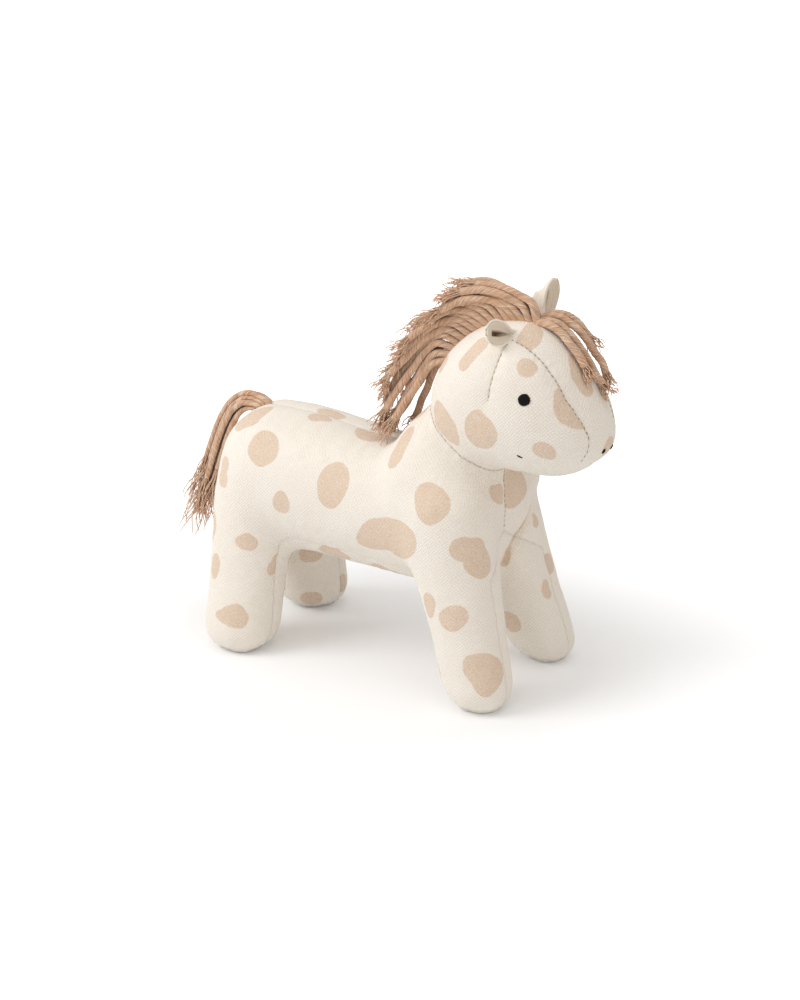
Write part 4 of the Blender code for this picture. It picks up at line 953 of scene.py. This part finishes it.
def poly_curve(name, lines):
    """A curve object with one spline, straight from point to point, for each line."""
    curve = bpy.data.curves.new(name, "CURVE")
    curve.dimensions = "3D"
    for line in lines:
        spline = curve.splines.new("POLY")
        spline.points.add(len(line) - 1)
        for spot, point in zip(spline.points, line):
            spot.co = (*point, 1)
    made = bpy.data.objects.new(name, curve)
    bpy.context.scene.collection.objects.link(made)
    return made


def threads(name, lines, thickness, sides=1):
    """One mesh of round threads, each along its own list of points, thinner at its ends."""
    made = poly_curve(name, lines)
    made.data.bevel_depth = thickness / 2
    made.data.bevel_resolution = sides
    made.data.use_fill_caps = True
    for spline in made.data.splines:
        spline.points[0].radius = spline.points[-1].radius = THIN_END
    alone(made)
    bpy.ops.object.convert(target="MESH")
    bpy.ops.object.shade_smooth()
    return made


# %% Satin stitch
STITCH_PLAY = 0.12 * MM
STITCH_SINK = 0.15 * MM
MOUTH_SLOPE = radians(35)
FACE = (
    ("eye_stitches_", "eye_", Vector((0.35, 0, 1)), (6.4, 6.3), 0.75, 0.42),
    ("nostril_stitches_", "nostril_", UP, (3.0, 2.0), 0.5, 0.5),
    ("mouth_corner_", "mouth_stitch_", Vector((cos(MOUTH_SLOPE), 0, -sin(MOUTH_SLOPE))), (3.6, 0.9), 0.35, 0.3),
)


def satin_patch(name, node, long_way, size, crown, pitch):
    """A pad of satin stitch where a CAD node is, its threads along one direction, sizes in mm."""
    low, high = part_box(node)
    middle, normal, _, _ = skin_tree.find_nearest((low + high) / 2)
    along = (long_way - normal * normal.dot(long_way)).normalized()
    across = normal.cross(along)
    lines = []
    rows = max(3, round(size[1] / pitch))
    for row in range(rows):
        off = (row + 0.5) / rows * 2 - 1
        half = sqrt(1 - off * off) * size[0] * MM / 2 + random.uniform(-STITCH_PLAY, STITCH_PLAY)
        line = []
        for k in range(9):
            t = k / 4 - 1
            lift = crown * MM * (1 - 0.85 * t ** 4) * sqrt(max(0.05, 1 - 0.8 * off * off)) - STITCH_SINK
            line.append(middle + along * t * half + across * off * size[1] * MM / 2 + normal * lift)
        lines.append(line)
    made = threads(name, lines, pitch * 1.25 * MM, 2)
    made.data.materials.append(thread_black)
    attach(made, "head")
    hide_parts(node)


random.seed(4)
for flank in ("right", "left"):
    for name, node, *shape in FACE:
        satin_patch(name + flank, node + flank, *shape)

# %% [markdown]
# ## Seam stitches
# The seams of the forehead, the ear dart, the neck and the chest show their thread. A seam's path is
# where its signed distance changes sign along the skin's edges. Sorted round a middle point, these
# crossings make a line, and a short thread is laid every few millimetres along it.

# %% Sewing thread material
def thread_material(name, dark, pale):
    """Fine matt thread that wanders between two colours."""
    made, tree, shader = new_material(name)
    strand = grain(tree, object_place(tree), 2000.0, 2.0)
    tree.links.new(mix(tree, strand, dark, pale), shader.inputs["Base Color"])
    set_inputs(shader, Roughness=0.85)
    return made


sewing = thread_material("cotton_sewing_thread", "#9C8871", "#C4B29B")
pale_sewing = thread_material("pale_cotton_sewing_thread", "#BCA991", "#D8C9B4")

# %% Lay stitches along a seam
corners = np.array([edge.vertices[:] for edge in skin.data.edges])
side = seam_distances(points)
x, y, z = points.T
STITCH_MARKS = np.array([0, 0.15, 0.5, 0.85, 1])
STITCH_LIFTS = np.array([-0.25, 0.1, 0.2, 0.1, -0.25])[:, None]
STOUT = 0.42
FINE_HAND = {"pitch": 2.9, "length": 1.7}
NOSE_TOP = 152
DART_TOP = 197


def stitches(name, values, keep, order, thread, finish, pitch=3.2, length=2.2):
    """Short threads along the line where a seam's distance is nought, in the order of a key."""
    a, b = corners.T
    cross = (values[a] * values[b] < 0) & keep[a] & keep[b]
    a, b = a[cross], b[cross]
    share = (values[a] / (values[a] - values[b]))[:, None]
    line = points[a] + share * (points[b] - points[a])
    up = normals[a] + share * (normals[b] - normals[a])
    ranks = np.argsort(order(*line.T))
    line, up = line[ranks], up[ranks]
    run = run_along(line)
    lines = []
    for start in np.arange(0, run[-1] - length, pitch):
        marks = start + length * STITCH_MARKS
        raised = at_marks(marks, run, line) + at_marks(marks, run, up) * STITCH_LIFTS
        lines.append([Vector(p) * MM for p in raised])
    made = threads(name, lines, thread * MM)
    made.data.materials.append(finish)
    print(name, len(lines), "stitches on", round(float(run[-1])), "mm")
    return made


for sign, flank in ((-1, "right"), (1, "left")):
    on_side = (side["neck"] > 2) & (y * sign > 3)
    keep = on_side & (side["gusset_end"] < 4)
    for part, here, finish in (("forehead", z > NOSE_TOP, sewing), ("nose", z <= NOSE_TOP, pale_sewing)):
        gusset = stitches(part + "_stitches_" + flank, side["gusset"], keep & here,
                          lambda x, y, z: -np.arctan2(z - 150, x - 95), STOUT, finish, **FINE_HAND)
        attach(gusset, "head")
    keep = on_side & (side["dart_end"] < 0.5) & (abs(side["dart"]) < 5) & (z < DART_TOP)
    dart = stitches("dart_stitches_" + flank, side["dart"], keep, lambda x, y, z: -z, 0.28, pale_sewing)
    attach(dart, "head")
chest = stitches("chest_stitches", y, (side["neck"] < -1) & (side["belly"] < 0) & (x > 50) & (z < 150),
                 lambda x, y, z: -z, STOUT, sewing, **FINE_HAND)
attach(chest, "body")
neck_line = stitches("neck_stitches", side["neck"], abs(side["neck"]) < 9,
                     lambda x, y, z: np.arctan2(z - 142 + (x - 56) * 0.6, y), 0.25, pale_sewing)
hang_across_neck(neck_line)

# %% [markdown]
# ## Cotton cord
# The mane, forelock and tail are soft five-ply cotton cord, 4.4 mm thick and in the tail 3.5 mm. Five
# small circles are screwed along an axis, which makes a straight twisted cord, and a curve modifier then
# lays it along its path. The ends are left to fray: there each cord opens into a tuft of fine wavy
# strands.

# %% Cord material
cotton_cord, tree, shader = new_material("twisted_cotton_cord")
stretch = add(tree, "Mapping", {"Vector": stored(tree, "ply_place", "Vector"), "Scale": (0.08, 1.0, 1.0)})
fibre = ramp(tree, grain(tree, stretch.outputs[0], 1.9, 2.0, Roughness=0.6), 0.34, 0.66)
patches = calc(tree, "MULTIPLY", grain(tree, object_place(tree), 60.0, 2.0), 0.35)
aged = mix(tree, patches, mix(tree, fibre, "#C9854F", "#FFE8CF"), "#E6B893")
# The grooves between the plies are darkened towards #A07450: painted shade.
laid = mix(tree, ramp(tree, stored(tree, "groove"), 0.9, 0.985, 0.15, 0.0), aged, "#A07450")
# Where ambient occlusion finds cords or cloth close by, the colour goes towards #64401F: painted shade between
# the cords.
open_share = add(tree, "AmbientOcclusion", {"Distance": 3 * MM}, samples=8).outputs["AO"]
deep = mix(tree, ramp(tree, open_share, 0.1, 0.5, 0.9, 0.0), laid, "#64401F")
tree.links.new(deep, shader.inputs["Base Color"])
emboss(tree, shader, fibre, 0.9, 0.35)
set_inputs(shader, Roughness=0.85, Specular_IOR_Level=0.25, Sheen_Weight=0.45, Sheen_Roughness=0.5)

# %% A straight length of cord
CORD = 4.4
PLIES = 5
PLY_TURN = 14.0
PLY_OFFSET = 0.13
PLY_RADIUS = 0.37
PLY_SIDES = 8
CORD_STEP = 0.85


def turns_along(distance, thick):
    """The angle that a cord's plies have turned after a distance in mm."""
    return 2 * pi * distance / (PLY_TURN * thick / CORD)


def straight_cord(name, length, turn, thick):
    """Twisted cord along X, in millimetres, with closed ends."""
    bpy.ops.object.select_all(action="DESELECT")
    plies = []
    for k in range(PLIES):
        angle = turn + k * 2 * pi / PLIES
        middle = Vector((0, cos(angle), sin(angle))) * thick * PLY_OFFSET
        bpy.ops.mesh.primitive_circle_add(vertices=PLY_SIDES, radius=thick * PLY_RADIUS * MM,
                                          location=middle * MM, rotation=(0, pi / 2, 0))
        plies.append(bpy.context.active_object)
        bpy.ops.object.transform_apply(location=True, rotation=True, scale=True)
    cord = join_pieces(plies, name)
    screw = cord.modifiers.new("twist", "SCREW")
    screw.axis = "X"
    screw.angle = -turns_along(length, thick)
    screw.screw_offset = length * MM
    screw.steps = screw.render_steps = max(8, round(length / CORD_STEP))
    screw.use_normal_calculate = True
    apply_all(cord)
    bpy.ops.object.mode_set(mode="EDIT")
    bpy.ops.mesh.select_all(action="SELECT")
    bpy.ops.mesh.remove_doubles(threshold=0.001 * MM)
    bpy.ops.mesh.fill_holes(sides=PLY_SIDES)
    bpy.ops.mesh.select_all(action="SELECT")
    bpy.ops.mesh.normals_make_consistent(inside=False)
    bpy.ops.object.mode_set(mode="OBJECT")
    return cord


# %% Lay a cord along a path, with a frayed tip
GOLDEN_ANGLE = 2.4
STRAND = 0.6 * MM
TUFT_START = 1.5 * MM


def smooth_path(points, count):
    """Evenly spaced points on a smooth curve through given ones, and the curve's length."""
    rows = np.array([tuple(p) for p in points])
    rows = np.vstack([2 * rows[0] - rows[1], rows, 2 * rows[-1] - rows[-2]])
    fine = [curve_through(*four, t) for four in zip(rows, rows[1:], rows[2:], rows[3:])
            for t in np.arange(0, 1, 0.05)]
    fine = np.array(fine + [rows[-2]])
    run = run_along(fine)
    return [Vector(p) for p in at_marks(np.linspace(0, run[-1], count), run, fine)], run[-1]


def frayed_tip(name, tip, way, length, count, spread, drop, thick):
    """A tuft of fine strands from a cord's end, which wave and hang a little."""
    across = way.cross(UP if abs(way.z) < 0.9 else AHEAD).normalized()
    other = way.cross(across)
    lines = []
    for k in range(count):
        angle = GOLDEN_ANGLE * k
        out = sqrt((k + 0.5) / count)
        off = across * cos(angle) + other * sin(angle)
        reach = length * random.uniform(0.6, 1.1)
        wave = random.uniform(0, 2 * pi)
        line = []
        for step in range(9):
            t = step / 8
            bend = off * (out * thick * 0.38 * MM + spread * out * t ** 1.5)
            curl = (across * sin(wave + 8 * t) + other * cos(wave + 7 * t)) * t * (0.5 * MM + length * 0.035)
            line.append(tip + way * (reach * t - TUFT_START) + bend + curl - UP * drop * t * t)
        lines.append(line)
    return threads(name, lines, STRAND)


def lay_cord(name, path, fray, strands, spread, drop, thick=CORD):
    """A twisted cord along a path in metres, frayed at its far end."""
    line, length = smooth_path(path, 40)
    cord = straight_cord(name, length / MM, random.uniform(0, 2), thick)
    straight = vertex_places(cord)
    along, y, z = straight.T
    angle = turns_along(along, thick)
    unturned = np.stack([along, y * np.cos(angle) - z * np.sin(angle), y * np.sin(angle) + z * np.cos(angle)],
                        axis=1)
    store(cord, "ply_place", unturned)
    store(cord, "groove", np.hypot(y, z) / (thick / 2))
    rail = poly_curve(name + "_path", [line])
    rail.data.twist_mode = "MINIMUM"
    bend = cord.modifiers.new("bend", "CURVE")
    bend.object = rail
    bend.deform_axis = "POS_X"
    apply_all(cord)
    bpy.ops.object.shade_smooth()
    bpy.data.objects.remove(rail)
    way = (line[-1] - line[-3]).normalized()
    tuft = frayed_tip(name + "_fray", line[-1], way, fray, strands, spread, drop, thick)
    store(tuft, "ply_place", vertex_places(tuft))
    store(tuft, "groove", np.full(len(tuft.data.vertices), 1.0))
    cord = join_pieces([cord, tuft], name)
    cord.data.materials.clear()
    cord.data.materials.append(cotton_cord)
    return cord


# %% [markdown]
# ## Mane
# The cords are sewn in two rows round the back of the head, from the poll to the nape. They stand up a
# little where they leave the cloth, then fold back and fall under their own weight, the ones at the poll
# nearly level and those at the nape almost straight down.

# %% Paths of the mane
CREST_FREE = 4
CREST = np.array([(89, 211), (87.6, 211), (69, 209.3), (52, 201.3), (38.7, 188), (30.6, 172), (28, 158)])
MANE_ARCS = (
    (0.00, ((96, 210), (93, 218), (86, 221), (78, 223.5), (70, 224), (62, 223.5), (54, 222.5), (47, 221))),
    (0.10, ((90, 210), (85, 215), (77, 219), (70, 221), (62, 222), (54, 220), (47, 217), (40, 214))),
    (0.22, ((84, 209), (77, 215), (69, 217), (60, 216), (52, 214), (44, 209), (36, 204), (29, 200))),
    (0.38, ((68, 206), (59, 209), (50, 209), (41, 206), (33, 200), (27, 194), (20, 187), (14, 180))),
    (0.52, ((56, 198), (47, 202), (38, 199), (30, 193), (24, 186), (17, 179), (11, 171), (6, 164))),
    (0.66, ((47, 188), (37, 190), (29, 183), (23, 175), (17, 167), (11, 158), (6, 149), (0, 140))),
    (0.78, ((41, 180), (33, 176), (28, 168), (24, 160), (19, 152), (15, 144), (10, 138), (5, 134))),
)
ARC_SHARES = [share for share, arc in MANE_ARCS]
ROOT_DEPTH = 4
PATH_POINTS = 50


def crest_point(share):
    """A point of the crest, from the poll at 0 to the nape at 1."""
    run = run_along(CREST)
    x, z = at_marks([share * (run[-1] - CREST_FREE)], run, CREST)[0]
    return np.array([x + STANCE / MM, 0, z])


def mane_path(share, row, tip, reach, stray):
    """Points of one cord: it leaves the crest, arches, and falls between two neighbouring arcs."""
    x, z = ([np.interp(share, ARC_SHARES, [arc[k][axis] for _, arc in MANE_ARCS]) for k in range(8)]
            for axis in (0, 1))
    root = crest_point(share)
    path = []
    for k in range(8):
        t = k / 7
        settle = (1 - t) ** 2
        place = np.array([x[k], row + (tip - row) * t ** 1.2, z[k]]) + stray * t
        path.append(place + (root - np.array([x[0], 0, z[0]])) * settle)
    inward = (path[1] - path[0]) / np.linalg.norm(path[1] - path[0]) * ROOT_DEPTH
    line, _ = smooth_path([path[0] - inward] + path, PATH_POINTS)
    return [point * MM for point in line[:round(PATH_POINTS * reach)]]


# %% Sew on the mane
PER_SIDE = 16
MANE_SHARE = 0.8  # of the crest, which the roots take
MANE_REACH = (0.74, 0.88)
ROW_OFFSET = 2.6
MANE_ROWS = ((-1, "right", 0, (2.5, 9, 5, 12)), (1, "left", 0.5, (3, 12, 7, 17)))
random.seed(21)
mane = []
for sign, flank, shift, tips in MANE_ROWS:
    for k in range(PER_SIDE):
        share = MANE_SHARE * (k + shift) / (PER_SIDE - 0.5)
        tip = tips[k % 4] + random.uniform(-1, 1)
        stray = np.array([random.uniform(-3, 3), 0, random.uniform(-2.5, 3.5)])
        path = mane_path(share, sign * ROW_OFFSET, sign * tip, random.uniform(*MANE_REACH), stray)
        name = "mane_strand_" + flank + "_" + str(k + 1)
        mane.append(lay_cord(name, path, 15 * MM, 24, 4.5 * MM, 1.5 * MM))
nodes = sorted(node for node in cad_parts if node.startswith("mane_cord"))
for k, cord in enumerate(mane):
    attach(cord, "mane")
    if k < len(nodes):
        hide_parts(nodes[k])
print("mane cords:", len(mane))

# %% [markdown]
# ## Forelock
# Four cords leave the poll ahead of the mane and fall forward over the left of the forehead.

# %% Forelock
FORELOCK = (
    ((99, -3, 209), (106, -3, 208), (112, -3, 205), (117, -3, 200), (122, -3, 195), (126, -3, 189)),
    ((98, 0, 209), (107, 1, 209), (114, 2, 204), (120, 3, 197), (124, 4, 189), (128.5, 4, 183),
     (132.5, 5, 179)),
    ((98, 3, 210), (105, 6, 211), (113, 8, 207), (119, 10, 201), (124, 12, 193), (128, 13, 188),
     (130, 13.5, 182.5)),
    ((98, 6, 210), (102, 8, 212), (108, 11, 211), (113, 14, 207), (116, 14.5, 203.5), (119, 16, 199.5)),
)
UNDER_POLL = (3, 0, 4)
CLEARANCE = CORD * 0.55 * MM
for k, row in enumerate(FORELOCK):
    path = []
    for number, point in enumerate([np.array(row[0]) - UNDER_POLL, *row]):
        point = Vector(point) * MM
        at, out, _, _ = skin_tree.find_nearest(point)
        short = max(0, CLEARANCE - (point - at).dot(out)) if number > 1 else 0
        path.append(point + out * short)
    cord = lay_cord("forelock_strand_" + str(k + 1), path, 10 * MM, 24, 4 * MM, 1 * MM)
    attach(cord, "forelock")
    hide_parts("forelock_cord_" + str(k + 1))

# %% [markdown]
# ## Tail
# Nine thinner cords leave the back together, arch over the rump and hang. A third of their length has
# come unravelled, so the tufts are long and wavy.

# %% Tail
TAIL_CORD = 3.5
TAIL_COUNT = 9
TAIL_NODES = 5
TAIL_LENGTH = 112
TAIL_STEPS = 40
TAIL_FRAY = 36
TAIL_HEADINGS = ((0, 0.07, 0.14, 0.25, 0.4, 1.0), (140, 178, 212, 238, 249, 254))
tail_root = skin_tree.ray_cast(Vector((-87, 0, 60)) * MM + AHEAD * STANCE, UP)[0]


def tail_point(share, across, up):
    """A point of the bundle's middle line, moved across it and along its normal."""
    here = tail_root.copy()
    for k in range(TAIL_STEPS):
        part = (k + 0.5) / TAIL_STEPS
        turn = radians(float(np.interp(part, *TAIL_HEADINGS)))
        if part > share:
            break
        here = here + (AHEAD * cos(turn) + UP * sin(turn)) * TAIL_LENGTH * MM / TAIL_STEPS
    normal = AHEAD * sin(turn) - UP * cos(turn)
    loose = (4.9 + 2.0 * share) * MM
    return here + normal * up * loose + ASIDE * across * loose


random.seed(8)
start = radians(TAIL_HEADINGS[1][0])
for k in range(TAIL_COUNT):
    out, angle = 1.05 * sqrt((k + 0.5) / TAIL_COUNT), GOLDEN_ANGLE * k
    across, up, share = out * cos(angle), out * sin(angle), random.uniform(0.82, 1.0)
    path = [tail_point(0, across, up) - (AHEAD * cos(start) + UP * sin(start)) * 6 * MM]
    path += [tail_point(share * 0.66 * i / 11, across, up) for i in range(12)]
    fray = share * TAIL_FRAY * MM
    cord = lay_cord("tail_strand_" + str(k + 1), path, fray, 22, 7 * MM, 2 * MM, TAIL_CORD)
    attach(cord, "tail")
    if k < TAIL_NODES:
        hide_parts("tail_cord_" + str(k + 1))
print("tail root in mm", [round(v / MM, 1) for v in tail_root])

# %% Sizes and finish
low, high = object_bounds()
print("visual box in mm", [round(v / MM, 1) for v in low], [round(v / MM, 1) for v in high])
